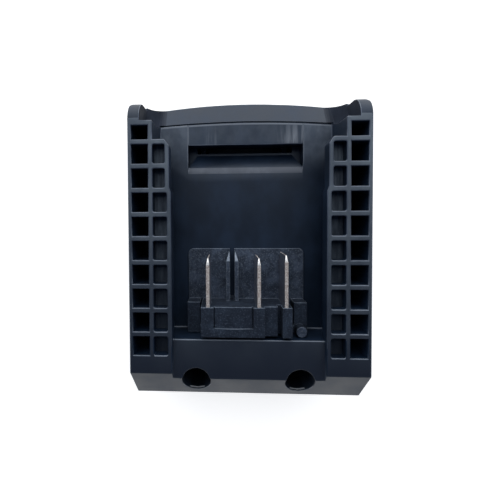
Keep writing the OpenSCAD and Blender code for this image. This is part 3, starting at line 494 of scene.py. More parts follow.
# Nickel plate over brass: smooth, neutral sides
NICKEL = GrainyMetal("nickel_plated_brass", "#b8bcc6", "#9ea3ae", (0.34, 0.42), 0.9, 0.0008)
# Sheared top and front edges of the blades: coarse grain with a faint coppery cast where the plate is thin,
# paler than the sides as a painted highlight
NICKEL_EDGE = GrainyMetal("nickel_sheared_edge", "#dcdad8", "#bdb3ae", (0.78, 0.95), 0.55, 0.05)
# Coined noses of the blades, which slope towards the lamp: white metal as a painted highlight
NICKEL_NOSE = GrainyMetal("nickel_coined_nose", "#ffffff", "#f6f4f0", (0.5, 0.6), 0.9, 0.006)
# Tin bronze strip: warm and smooth
BRONZE = GrainyMetal("tin_bronze_strip", "#c9a368", "#a8824c", (0.24, 0.34))
# Zinc on steel: pale and slightly milky
ZINC = GrainyMetal("zinc_plated_steel", "#b9bcc0", "#93979d", (0.28, 0.42))
# Black oxide on steel: dark with an oily gloss
OXIDE = GrainyMetal("black_oxide_steel", "#2a2b2e", "#1b1c1e", (0.30, 0.44))
# Drawn spring wire
WIRE = GrainyMetal("drawn_spring_steel", "#9a9da2", "#777a80", (0.25, 0.38))
# Lead insulation: smooth PVC with a soft gloss
RED_PVC = MouldedNylon("pvc_red", "#9c1c18", "#a8231d", (0.36, 0.44), 0.8, 0.006)
YELLOW_PVC = MouldedNylon("pvc_yellow", "#c9a01e", "#d2ac2c", (0.36, 0.44), 0.8, 0.006)
BLACK_PVC = MouldedNylon("pvc_black", "#141416", "#1c1c1f", (0.36, 0.44), 0.8, 0.006)
# Shrink sleeves: polyolefin, duller than the leads
SLEEVE = MouldedNylon("polyolefin_sleeve_black", "#161618", "#202023", (0.42, 0.5), 0.8, 0.01)


def cad_form(node: str, cuts_mm: dict[str, Iterable[float]]) -> bmesh.types.BMesh:
    """Copies a solid as a clean mesh, with its loose triangles merged into flat faces.

    Args:
        node: Name of the CAD node.
        cuts_mm: Places along X and Y where faces are parted, so that none goes round a hole.

    Returns:
        The mesh, to be freed by the caller.
    """
    form = bmesh.new()
    form.from_mesh(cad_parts[node].data)
    bmesh.ops.remove_doubles(form, verts=form.verts, dist=WELD)
    for axis, places in cuts_mm.items():
        across = Vector([float(letter == axis) for letter in "XYZ"])
        for place in places:
            cut = bmesh.ops.bisect_plane(
                form, geom=[*form.verts, *form.edges, *form.faces], dist=CUT_SLACK,
                plane_co=across * place * MM, plane_no=across,
            )
            for item in cut["geom_cut"]:
                if isinstance(item, bmesh.types.BMEdge):
                    item.seam = True
    bmesh.ops.dissolve_limit(form, angle_limit=FLAT, verts=form.verts, edges=form.edges, delimit={"SEAM"})
    for edge in form.edges:
        edge.seam = False
    return form


def plain_mesh(piece: Piece) -> None:
    """Puts a piece's modifiers into its mesh.

    Args:
        piece: The piece.
    """
    depsgraph = bpy.context.evaluated_depsgraph_get()
    mesh = bpy.data.meshes.new_from_object(piece.evaluated_get(depsgraph))
    piece.modifiers.clear()
    mesh.name = piece.name
    piece.data = mesh


def new_object(name: str, data: bpy.types.ID) -> bpy.types.Object:
    """Makes an object and puts it in the scene.

    Args:
        name: Name of the object.
        data: Its mesh, lamp or camera.

    Returns:
        The new object.
    """
    item = bpy.data.objects.new(name, data)
    bpy.context.scene.collection.objects.link(item)
    return item


def form_mesh(form: bmesh.types.BMesh, name: str) -> bpy.types.Mesh:
    """Turns a form into a mesh and frees the form.

    Args:
        form: The form.
        name: Name of the mesh.

    Returns:
        The mesh.
    """
    mesh = bpy.data.meshes.new(name)
    form.to_mesh(mesh)
    form.free()
    return mesh


def node_tree(name: str, inputs: dict[str, str]) -> tuple[Tree, Node]:
    """Starts a Geometry Nodes tree.

    Args:
        name: Name of the tree.
        inputs: Socket type of each named input after the geometry.

    Returns:
        The tree and its input node.
    """
    tree = bpy.data.node_groups.new(name, "GeometryNodeTree")
    tree.interface.new_socket("Geometry", in_out="INPUT", socket_type="NodeSocketGeometry")
    for label, kind in inputs.items():
        tree.interface.new_socket(label, in_out="INPUT", socket_type=kind)
    tree.interface.new_socket("Geometry", in_out="OUTPUT", socket_type="NodeSocketGeometry")
    return tree, add_node(tree, "NodeGroupInput")


def close_tree(tree: Tree, given: Node, shape: Socket) -> None:
    """Ends a tree in real geometry with its material.

    Args:
        tree: The tree.
        given: Its input node.
        shape: Geometry to hand on.
    """
    real = add_node(tree, "GeometryNodeRealizeInstances", {"Geometry": shape})
    inputs = {"Geometry": real.outputs["Geometry"], "Material": given.outputs["Material"]}
    dressed = add_node(tree, "GeometryNodeSetMaterial", inputs)
    add_node(tree, "NodeGroupOutput", {"Geometry": dressed.outputs["Geometry"]})


def grown(name: str, mesh: bpy.types.Mesh, tree: Tree, inputs: dict[str, Any]) -> Piece:
    """Runs a tree on a mesh and keeps the result as a plain piece.

    Args:
        name: Name of the piece.
        mesh: Mesh that the tree starts from.
        tree: The tree.
        inputs: Values of its named inputs.

    Returns:
        The new piece.
    """
    piece = new_object(name, mesh)
    modifier = piece.modifiers.new("grow", "NODES")
    modifier.node_group = tree
    for item in tree.interface.items_tree:
        if item.in_out == "INPUT" and item.name in inputs:
            modifier[item.identifier] = inputs[item.name]
    plain_mesh(piece)
    form = bmesh.new()
    form.from_mesh(piece.data)
    bmesh.ops.recalc_face_normals(form, faces=form.faces)
    form.to_mesh(piece.data)
    form.free()
    piece.data.set_sharp_from_angle(angle=CREASE)
    return piece


def tube_tree() -> Tree:
    """Makes the tree that draws wire along the edges of a mesh.

    Returns:
        The tree.
    """
    tree, given = node_tree(
        "drawn_tube",
        {"Radius": "NodeSocketFloat", "Sides": "NodeSocketInt", "Material": "NodeSocketMaterial"},
    )
    path = add_node(tree, "GeometryNodeMeshToCurve", {"Mesh": given.outputs["Geometry"]})
    sizes = {"Radius": given.outputs["Radius"], "Resolution": given.outputs["Sides"]}
    ring = add_node(tree, "GeometryNodeCurvePrimitiveCircle", sizes, mode="RADIUS")
    sweep = {"Curve": path.outputs["Curve"], "Profile Curve": ring.outputs["Curve"], "Fill Caps": True}
    tube = add_node(tree, "GeometryNodeCurveToMesh", sweep)
    smooth = add_node(tree, "GeometryNodeSetShadeSmooth", {"Geometry": tube.outputs["Mesh"]})
    close_tree(tree, given, smooth.outputs["Geometry"])
    return tree


def pair_tree() -> Tree:
    """Makes the tree that sets one turned part on each point of a mesh.

    Returns:
        The tree.
    """
    tree, given = node_tree(
        "set_of_screws",
        {"Part": "NodeSocketObject", "Turn": "NodeSocketRotation", "Material": "NodeSocketMaterial"},
    )
    part = add_node(tree, "GeometryNodeObjectInfo", {"Object": given.outputs["Part"]})
    points, turn = given.outputs["Geometry"], given.outputs["Turn"]
    inputs = {"Points": points, "Instance": part.outputs["Geometry"], "Rotation": turn}
    copies = add_node(tree, "GeometryNodeInstanceOnPoints", inputs)
    close_tree(tree, given, copies.outputs["Instances"])
    return tree


def turned(profile: Iterable[Pair], sides: int) -> bmesh.types.BMesh:
    """Turns a closed profile about Z, as on a lathe.

    Args:
        profile: Radius and height of each corner, in millimetres.
        sides: Number of sides.

    Returns:
        The mesh in metres, to be freed by the caller.
    """
    form = bmesh.new()
    corners = [form.verts.new((radius * MM, 0, height * MM)) for radius, height in profile]
    edges = [form.edges.new((corners[i - 1], corners[i])) for i in range(len(corners))]
    bmesh.ops.spin(
        form, geom=[*corners, *edges], axis=(0, 0, 1), cent=(0, 0, 0), angle=math.tau, steps=sides,
        use_merge=True,
    )
    bmesh.ops.remove_doubles(form, verts=form.verts, dist=WELD)
    loose = [edge for edge in form.edges if not edge.link_faces]
    bmesh.ops.delete(form, geom=loose, context="EDGES")
    bmesh.ops.recalc_face_normals(form, faces=form.faces)
    for face in form.faces:
        face.smooth = True
    return form


def softened(
    node: str, name: str, width_mm: float,
    share: Callable[[Vector, bool], float] | None = None,
    cuts_mm: dict[str, Iterable[float]] | None = None,
) -> Piece:
    """Makes a copy of a solid with rounded edges, whose roundings use the second material.

    Args:
        node: Name of the CAD node.
        name: Name of the new piece.
        width_mm: Widest rounding.
        share: Share of that width for an edge, from its middle in millimetres and whether it is inner.
        cuts_mm: Places along X and Y where faces are parted, so that none goes round a hole.

    Returns:
        The new piece.
    """
    form = cad_form(node, cuts_mm or {})
    weight = form.edges.layers.float.new("bevel_weight_edge")
    for edge in form.edges:
        if len(edge.link_faces) == 2 and edge.calc_face_angle(0) > CREASE:
            middle = (edge.verts[0].co + edge.verts[1].co) / 2 / MM
            edge[weight] = share(middle, edge.calc_face_angle_signed(0) < 0) if share else 1.0
            edge.smooth = edge[weight] > 0
    for face in form.faces:
        face.smooth = True
    mesh = form_mesh(form, name)
    piece = new_object(name, mesh)
    bevel = piece.modifiers.new("round", "BEVEL")
    bevel.width, bevel.segments, bevel.limit_method = width_mm * MM, 2, "WEIGHT"
    bevel.use_clamp_overlap = bevel.loop_slide = False
    bevel.miter_outer, bevel.material = "MITER_ARC", 1
    normals = piece.modifiers.new("normals", "WEIGHTED_NORMAL")
    normals.weight = 80
    normals.keep_sharp = True
    mesh.materials.append(None)
    mesh.materials.append(None)
    plain_mesh(piece)
    return piece


def dress(pieces: dict[str, Piece], body: str, slot: str, *finishes: Finish) -> None:
    """Gives pieces their materials and their body, and hides the nodes that they stand for.

    Args:
        pieces: The pieces, by the CAD node that each replaces.
        body: Body that they ride on.
        slot: Not used.
        finishes: Finishes in the order of their faces' slots, or none where they have them already.
    """
    for node, piece in pieces.items():
        slots = piece.data.materials
        for place, finish in enumerate(finishes):
            if place < len(slots):
                slots[place] = finish.material()
            else:
                slots.append(finish.material())
        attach(piece, body)
        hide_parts(node)
        LOG.info("%s: %d faces, rides on %s", piece.name, len(piece.data.polygons), body)


@dataclass
class Shells:
    """The two mouldings of the housing, with the places that get edges or a finish of their own."""

    edge_mm: float = 0.32
    broad_edge_mm: float = 1.0
    floor_arc_mm: float = 390.0
    floor_edge_mm: float = 44.5
    floor_mm: float = 24.0
    tops_mm: Pair = (40.0, 37.6)
    rail_end_mm: float = 42.0
    ear_mm: float = 35.6
    pocket_mm: float = 36.0
    # Groove past the floor's end, and the roundings on its near and far side
    line_mm: float = 0.5
    line_edges_mm: Pair = (0.34, 0.04)
    # Half width of the catch recess, Y where its bevel starts and ends, and the roundings there
    recess_mm: Triple = (21.0, 25.9, 28.2)
    recess_edges_mm: Pair = (0.5, 0.12)
    recess_low_mm: float = 22.6
    recess_end_mm: float = 36.5
    step_reach_mm: float = 0.5
    side_mm: float = 39.5
    stop_mm: float = -31.0
    well_x_mm: float = 17.5
    well_mm: float = -45.9
    well_radius_mm: float = 5.1
    well_rim_mm: float = 0.6
    well_lip_mm: float = 2.0
    row_start_mm: float = -35.95
    row_pitch_mm: float = 7.95
    row_mm: float = 6.35
    row_count: int = 9
    short_row_mm: float = 37.9
    small_hole_mm: Pair = (-25.15, -29.83)
    rear_hole_mm: float = 32.6
    hook_mm: float = 38.0
    # Parts of a face's normal that tell which way it faces
    level: float = 0.99
    catch_turn: Pair = (0.3, 0.7)
    wall_rise: float = 0.5
    well_front: float = 0.86
    scoop_turn: float = 0.12
    scoop_step: float = 0.1
    lit_rise: float = 0.2
    upright_rise: float = 0.25
    tilted: float = 0.3

    def _in_recess(self, place: Vector) -> bool:
        """Tells whether a place in millimetres lies over the catch recess."""
        return abs(place.x) < self.recess_mm[0] and self.recess_mm[1] < place.y < self.recess_end_mm

    def _from_well(self, place: Vector) -> float:
        """Measures how far a place is in plan from the middle of the nearer screw well."""
        return math.hypot(abs(place.x) - self.well_x_mm, place.y - self.well_mm)

    def _edge_share(self, middle: Vector, inner: bool) -> float:
        """Shares out the rounding of the battery shell's edges.

        Args:
            middle: Middle of an edge in millimetres.
            inner: Whether the edge is an inner corner.

        Returns:
            Share of the broadest rounding.
        """
        width = self.edge_mm
        by_floor = abs(middle.z - self.floor_mm) < 2 * self.line_mm
        from_centre = math.hypot(middle.x, middle.y - self.floor_edge_mm + self.floor_arc_mm)
        past_line = from_centre - self.floor_arc_mm
        bevel_ends = [abs(middle.y - end) < SNUG_MM for end in self.recess_mm[1:]]
        if by_floor and abs(past_line - self.line_mm / 2) < self.line_mm:
            width = 0.0 if inner else self.line_edges_mm[past_line > self.line_mm / 2]
        elif inner and not by_floor or self._in_recess(middle) and middle.z < self.recess_low_mm:
            width = 0.0
        elif abs(middle.x) < self.recess_mm[0] and any(bevel_ends):
            width = self.recess_edges_mm[bevel_ends.index(True)]
        return width / self.broad_edge_mm

    def _outer_share(self, middle: Vector, inner: bool) -> float:
        """Rounds the outer corners of the tool shell and leaves its inner corners sharp."""
        return float(not inner)

    def _material(self, face: bpy.types.MeshPolygon) -> int:
        """Chooses the finish of one face of the battery shell, many of them painted light and shade by where
        the face lies and which way it turns.

        Args:
            face: The face.

        Returns:
            Slot of its material.
        """
        place, way = face.center / MM, face.normal
        # Up-facing faces at the top heights get the paler painted light
        if way.z > self.level and min(abs(place.z - top) for top in self.tops_mm) < self.edge_mm:
            return ShellSlot.TOP
        # Pocket floors get the paler painted light
        if way.z > self.level and abs(place.z - self.pocket_mm) < SNUG_MM:
            return ShellSlot.POCKET
        # Scoop faces take less sheen the more they turn sideways, as painted shade
        turn = abs(way.x) - self.scoop_turn
        at_scoop = place.y > self.rail_end_mm and self.recess_mm[0] + 1 < abs(place.x) < self.ear_mm
        if at_scoop and way.x * place.x < 0 < turn:
            return ShellSlot.SCOOP + min(int(turn / self.scoop_step), len(SHELL_SCOOPS) - 1)
        # The recess bevel that tilts towards the lamp gets painted light
        least, most = self.catch_turn
        if self._in_recess(place) and place.y < self.recess_mm[2] and least < way.y < most < way.z:
            return ShellSlot.CATCH
        # Well walls that face the lamp get the painted light band
        if self._from_well(place) < self.well_radius_mm and abs(way.z) < self.wall_rise:
            return ShellSlot.WELL if way.y > self.well_front else ShellSlot.RIM
        is_rim = face.material_index == ShellSlot.RIM
        return self._rim(place, way) if is_rim else face.material_index

    def _rim(self, place: Vector, way: Vector) -> int:
        """Chooses the painted highlight of one rounding of the battery shell: brighter where it faces up
        towards the lamp, none on the ears' outer roundings, on upright ones and on those that face sideways
        at the stop end.

        Args:
            place: Middle of the face in millimetres.
            way: Its normal.

        Returns:
            Slot of its material.
        """
        if place.y > self.rail_end_mm and abs(place.x) > self.ear_mm + 1:
            return ShellSlot.BODY
        at_side = abs(place.x) > self.side_mm - 1 and place.y < self.rail_end_mm
        at_step = abs(abs(place.x) - self.recess_mm[0]) < self.step_reach_mm and place.y > self.recess_mm[1]
        by_well = self._from_well(place) < self.well_radius_mm + self.well_rim_mm
        at_well = by_well and place.y < self.well_mm - self.well_lip_mm
        if way.z > self.lit_rise and (at_side or at_step or at_well or way.y > self.tilted):
            return ShellSlot.GLINT
        beside_stop = place.y < self.stop_mm and abs(way.x) > self.tilted
        return ShellSlot.BODY if abs(way.z) < self.upright_rise or beside_stop else ShellSlot.RIM

    def build(self) -> dict[str, Piece]:
        """Builds both shells.

        Returns:
            The pieces by the node that each stands for.
        """
        rows = [self.row_start_mm + i * self.row_pitch_mm + self.row_mm / 2 for i in range(self.row_count)]
        upper_cuts = {
            "X": [-self.recess_mm[0], 0, self.recess_mm[0]],
            "Y": [*rows, self.short_row_mm, self.well_mm, self.small_hole_mm[0], self.rear_hole_mm],
        }
        lower_cuts = {"X": [0], "Y": [self.well_mm, self.small_hole_mm[1], self.rear_hole_mm, self.hook_mm]}
        upper = softened("battery_shell", "upper_housing", self.broad_edge_mm, self._edge_share, upper_cuts)
        for face in upper.data.polygons:
            face.material_index = self._material(face)
        lower = softened("tool_shell", "lower_housing", self.edge_mm, self._outer_share, lower_cuts)
        return {"battery_shell": upper, "tool_shell": lower}

    def dress(self, pieces: dict[str, Piece]) -> None:
        """Gives both shells their plastic and the rims' painted highlight, and the battery shell its other
        finishes, painted light and shade among them.

        Args:
            pieces: The pieces by the node that each stands for.
        """
        special = (SHELL_TOP, SHELL_POCKET, SHELL_GLINT, SHELL_WELL, SHELL_CATCH, *SHELL_SCOOPS)
        for node, extra in (("battery_shell", special), ("tool_shell", ())):
            dress({node: pieces[node]}, HOUSING, "shell_plastic", SHELL, SHELL_RIM, *extra)


@dataclass
class Terminals:
    """The carrier on the channel floor and its blades."""

    carrier_edge_mm: float = 0.22
    inner_share: float = 0.3
    blade_edge_mm: float = 0.14
    screw_mm: float = -25.15
    post_mm: float = 38.6
    panel_mm: tuple[float, float, float, float] = (-11.45, -11.0, 1.35, 1.8)
    front_mm: float = -20.0
    rib_tip_mm: float = -6.2
    rib_low_mm: float = 25.2
    coding_mm: float = -4.95
    coding_half_mm: float = 2.4
    key_mm: Pair = (18.32, -29.25)
    key_radius_mm: float = 2.2
    wing_mm: float = 31.0
    plate_mm: float = 24.9
    # Parts of a face's normal that tell which way it faces
    raised: float = 0.2
    level: float = 0.9
    forward: float = 0.2
    lit_forward: float = 0.3
    front: float = 0.6

    def _edge_share(self, middle: Vector, inner: bool) -> float:
        """Keeps the inner corners and the sides of the panel dark.

        Args:
            middle: Middle of an edge in millimetres.
            inner: Whether the edge is an inner corner.

        Returns:
            Share of the carrier's rounding.
        """
        beside_panel = min(abs(middle.x - side) for side in self.panel_mm) < SNUG_MM
        if beside_panel and middle.z > self.post_mm - 1:
            return 0.0
        if abs(middle.x - self.coding_mm) < self.coding_half_mm and abs(middle.z - self.plate_mm) < SNUG_MM:
            return 0.0
        return self.inner_share if inner and middle.z > self.plate_mm + 1 else 1.0

    def _carrier_slot(self, face: bpy.types.MeshPolygon) -> int:
        """Chooses the finish of one face of the carrier, whose rims keep their painted highlight only where
        they face the lamp at the entry end.

        Args:
            face: The face.

        Returns:
            Slot of its material.
        """
        place, way, slot = face.center / MM, face.normal, face.material_index
        if place.y > self.front_mm and way.z > self.raised and slot == CarrierSlot.BODY:
            # Rib tips get the painted highlight
            on_tip = place.z > self.rib_low_mm and place.y > self.rib_tip_mm
            return CarrierSlot.TIP if on_tip else CarrierSlot.SCUFF
        on_key = math.dist(place.xy, self.key_mm) < self.key_radius_mm and place.z > self.wing_mm
        if on_key and way.z > self.level:
            return CarrierSlot.SCUFF
        # Rims at the back that don't face the lamp lose their painted highlight
        shaded = way.y < self.lit_forward and place.y < self.front_mm
        return CarrierSlot.BODY if slot == CarrierSlot.RIM and shaded else slot

    def _blade_slot(self, way: Vector) -> int:
        """Chooses the finish of one face of a blade, with paler painted highlights on faces that face up and
        towards the lamp.

        Args:
            way: The face's normal.

        Returns:
            Slot of its material.
        """
        if self.raised <= way.z < self.level and way.y > self.forward:
            return BladeSlot.NOSE
        return BladeSlot.EDGE if way.z >= self.raised or way.y > self.front else BladeSlot.SIDE

    def build(self) -> dict[str, Piece]:
        """Builds the carrier and the blades.

        Returns:
            The pieces by the node that each stands for.
        """
        cuts = {"X": [*LINES_MM, self.coding_mm, self.key_mm[0]], "Y": [self.screw_mm, self.key_mm[1]]}
        carrier = softened("terminal_block", "terminal_carrier", self.carrier_edge_mm, self._edge_share, cuts)
        for face in carrier.data.polygons:
            face.material_index = self._carrier_slot(face)
        pieces = {"terminal_block": carrier}
        for pole in Pole:
            node = f"{pole.value}_blade"
            blade = softened(node, f"{pole.value}_contact_blade", self.blade_edge_mm)
            for face in blade.data.polygons:
                face.material_index = self._blade_slot(face.normal)
            pieces[node] = blade
        return pieces

    def dress(self, pieces: dict[str, Piece]) -> None:
        """Gives the carrier its nylon and the blades their plating.

        Args:
            pieces: The pieces by the node that each stands for.
        """
        carrier = {"terminal_block": pieces.pop("terminal_block")}
        dress(carrier, HOUSING, "filled_nylon", CARRIER, CARRIER_RIM, CARRIER_SCUFF, CARRIER_TIP)
        dress(pieces, HOUSING, "nickel_plate", NICKEL, NICKEL_EDGE, NICKEL_NOSE)


@dataclass
class Contacts:
    """The block in the deck and the sprung contacts that it holds."""

    holder_edge_mm: float = 0.25
    clip_edge_mm: float = 0.1
    screw_mm: float = -29.83

    def build(self) -> dict[str, Piece]:
        """Builds the holder and the contacts.

        Returns:
            The pieces by the node that each stands for.
        """
        cuts = {"X": LINES_MM, "Y": [self.screw_mm]}
        holder = softened("contact_holder", "contact_block", self.holder_edge_mm, None, cuts)
        pieces = {"contact_holder": holder}
        for pole in Pole:
            node = f"{pole.value}_clip"
            pieces[node] = softened(node, f"{pole.value}_sprung_contact", self.clip_edge_mm)
        return pieces

    def dress(self, pieces: dict[str, Piece]) -> None:
        """Gives the holder its nylon and the contacts their bronze.

        Args:
            pieces: The pieces by the node that each stands for.
        """
        holder = {"contact_holder": pieces.pop("contact_holder")}
        dress(holder, HOUSING, "filled_nylon", CARRIER, CARRIER)
        dress(pieces, HOUSING, "contact_brass", BRONZE, BRONZE)


@dataclass
class Leads:
    """The three short leads inside the housing and the shrink sleeves over their ends."""

    lead_mm: Triple = (3.4, 2.2, 3.4)
    lead_sides: int = 24
    # Y and Z of the leads' ends
    blade_end_mm: Pair = (-15.7, 18.0)
    clip_end_mm: Pair = (-19.5, 6.8)
    bend_mm: float = 5.6
    bend_start_mm: float = -7.7
    # Steps along the upper run, the bend and the lower run
    steps: tuple[int, int, int] = (6, 24, 8)
    sleeve_mm: float = 8.0
    sleeve_back_mm: float = 4.0
    sleeve_radii_mm: Pair = (1.8, 2.2)
    sleeve_sides: int = 32
    # Heights along a sleeve, and the share of its wall there: drawn in a little at its ends and in the middle
    swell: tuple[Pair, ...] = (
        (0.0, 0.35), (0.35, 0.75), (1.2, 1.0), (2.6, 0.9), (4.0, 0.8),
        (5.4, 0.9), (6.8, 1.0), (7.65, 0.75), (8.0, 0.35),
    )

    def _path(self, x_mm: float) -> bpy.types.Mesh:
        """Makes the middle line of one lead.

        Args:
            x_mm: Place of the lead across the adapter.

        Returns:
            A mesh of edges.
        """
        (top_y, top_z), (low_y, low_z) = self.blade_end_mm, self.clip_end_mm
        start, middle_z = self.bend_start_mm, (top_z + low_z) / 2
        upper, bend, lower = self.steps
        points = [(x_mm, top_y + (start - top_y) * i / upper, top_z) for i in range(upper)]
        for i in range(bend + 1):
            turn = math.pi * i / bend
            y = start + self.bend_mm * math.sin(turn)
            points.append((x_mm, y, middle_z + self.bend_mm * math.cos(turn)))
        points += [(x_mm, start + (low_y - start) * i / lower, low_z) for i in range(1, lower + 1)]
        mesh = bpy.data.meshes.new("lead_path")
        edges = [(i, i + 1) for i in range(len(points) - 1)]
        mesh.from_pydata([Vector(point) * MM for point in points], edges, [])
        return mesh

    def _sleeves(self, name: str, x_mm: float) -> Piece:
        """Makes both sleeves of one lead.

        Args:
            name: Name of the piece.
            x_mm: Place of the lead across the adapter.

        Returns:
            The new piece.
        """
        inner, outer = self.sleeve_radii_mm
        walls = [(inner + (outer - inner) * share, height) for height, share in self.swell]
        both = bmesh.new()
        for y_mm, z_mm in (self.blade_end_mm, self.clip_end_mm):
            tube = turned([(inner, 0.0), *walls, (inner, self.sleeve_mm)], self.sleeve_sides)
            place = Matrix.Translation(Vector((x_mm, y_mm - self.sleeve_back_mm, z_mm)) * MM)
            bmesh.ops.transform(tube, matrix=place @ Matrix.Rotation(-math.pi / 2, 4, "X"), verts=tube.verts)
            part = form_mesh(tube, "sleeve")
            both.from_mesh(part)
            bpy.data.meshes.remove(part)
        mesh = form_mesh(both, name)
        mesh.set_sharp_from_angle(angle=CREASE)
        return new_object(name, mesh)

    def build(self) -> dict[Pole, tuple[Piece, Piece]]:
        """Builds the leads and their sleeves.

        Returns:
            A lead and its pair of sleeves for each pole.
        """
        tree = tube_tree()
        pieces = {}
        for pole, finish, x_mm, width in zip(Pole, (RED_PVC, YELLOW_PVC, BLACK_PVC), LINES_MM, self.lead_mm):
            inputs = {"Radius": width / 2 * MM, "Sides": self.lead_sides, "Material": finish.material()}
            lead = grown(f"{pole.value}_insulated_lead", self._path(x_mm), tree, inputs)
            pieces[pole] = (lead, self._sleeves(f"{pole.value}_shrink_sleeves", x_mm))
        return pieces

    def dress(self, pieces: dict[Pole, tuple[Piece, Piece]]) -> None:
        """Gives the sleeves their polyolefin, and puts each lead and its sleeves on the housing.

        Args:
            pieces: A lead and its pair of sleeves for each pole.
        """
        for (pole, (lead, sleeves)), colour in zip(pieces.items(), ("red", "yellow", "black")):
            dress({f"{pole.value}_lead": lead}, HOUSING, f"{colour}_insulation")
            dress({f"{pole.value}_sleeves": sleeves}, HOUSING, "shrink_sleeve", SLEEVE)


@dataclass
class ReleaseLatch:
    """The sliding latch with its thumb button, and the springs over it."""

    edge_mm: float = 0.25
    spring_x_mm: float = 10.8
    spring_y_mm: float = 41.15
    low_mm: float = 10.8
    high_mm: float = 21.6
    coil_mm: float = 4.6
    wire_mm: float = 0.6
    wire_sides: int = 10
    turns: int = 6
    steps: int = 24
    # Turns at each end that lie close, and their rise as a share of the others'
    closed_turns: float = 0.85
    closed_rise: float = 0.18
    stroke_mm: float = 3.5

    def _coils(self) -> bpy.types.Mesh:
        """Makes the middle lines of both springs, with their end turns closed.

        Returns:
            A mesh of edges.
        """
        last = self.turns * self.steps
        radius = (self.coil_mm - self.wire_mm) / 2
        span = self.high_mm - self.low_mm - self.wire_mm
        from_ends = [min(i / self.steps, self.turns - i / self.steps) for i in range(last + 1)]
        rise = [self.closed_rise if end < self.closed_turns else 1.0 for end in from_ends]
        total = sum(rise[1:])
        points, edges = [], []
        for side in BOTH_SIDES:
            height = self.low_mm + self.wire_mm / 2
            for i in range(last + 1):
                if i:
                    height += span * rise[i] / total
                    edges.append((len(points) - 1, len(points)))
                angle = math.tau * i / self.steps
                x = side * self.spring_x_mm + radius * math.cos(angle)
                points.append(Vector((x, self.spring_y_mm + radius * math.sin(angle), height)) * MM)
        mesh = bpy.data.meshes.new("coil_paths")
        mesh.from_pydata(points, edges, [])
        return mesh

    def build(self) -> list[Piece]:
        """Builds the latch and its springs.

        Returns:
            The latch and the pair of springs.
        """
        cuts = {"X": [0], "Y": [self.spring_y_mm]}
        latch = softened("release_latch", "sliding_latch", self.edge_mm, None, cuts)
        inputs = {"Radius": self.wire_mm / 2 * MM, "Sides": self.wire_sides, "Material": WIRE.material()}
        return [latch, grown("coil_springs", self._coils(), tube_tree(), inputs)]

    def dress(self, pieces: list[Piece]) -> None:
        """Gives the latch its acetal, and the springs their own mesh on the housing.

        Args:
            pieces: The latch and the pair of springs.
        """
        latch, springs = pieces
        dress({"release_latch": latch}, LATCH, "latch_plastic", LATCH_ACETAL, LATCH_RIM)
        dress({"latch_springs": springs}, HOUSING, "spring_steel")
        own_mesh(springs)


@dataclass(frozen=True)
class ScrewStock:
    """Stock that a pair of pan-head screws is taken from: the name of its slot and its sizes."""

    slot: str
    shank_mm: float
    head_mm: float
    head_height_mm: float


LARGE = ScrewStock("black_steel", 1.5, 2.8, 1.8)
SMALL = ScrewStock("zinc_steel", 0.9, 1.7, 1.3)


@dataclass(frozen=True)
class ScrewKind:
    """A pair of screws: which node it stands for, where it sits, which way its heads face and its length."""

    node: str
    name: str
    stock: ScrewStock
    facing: Facing
    place_mm: Triple
    length_mm: float


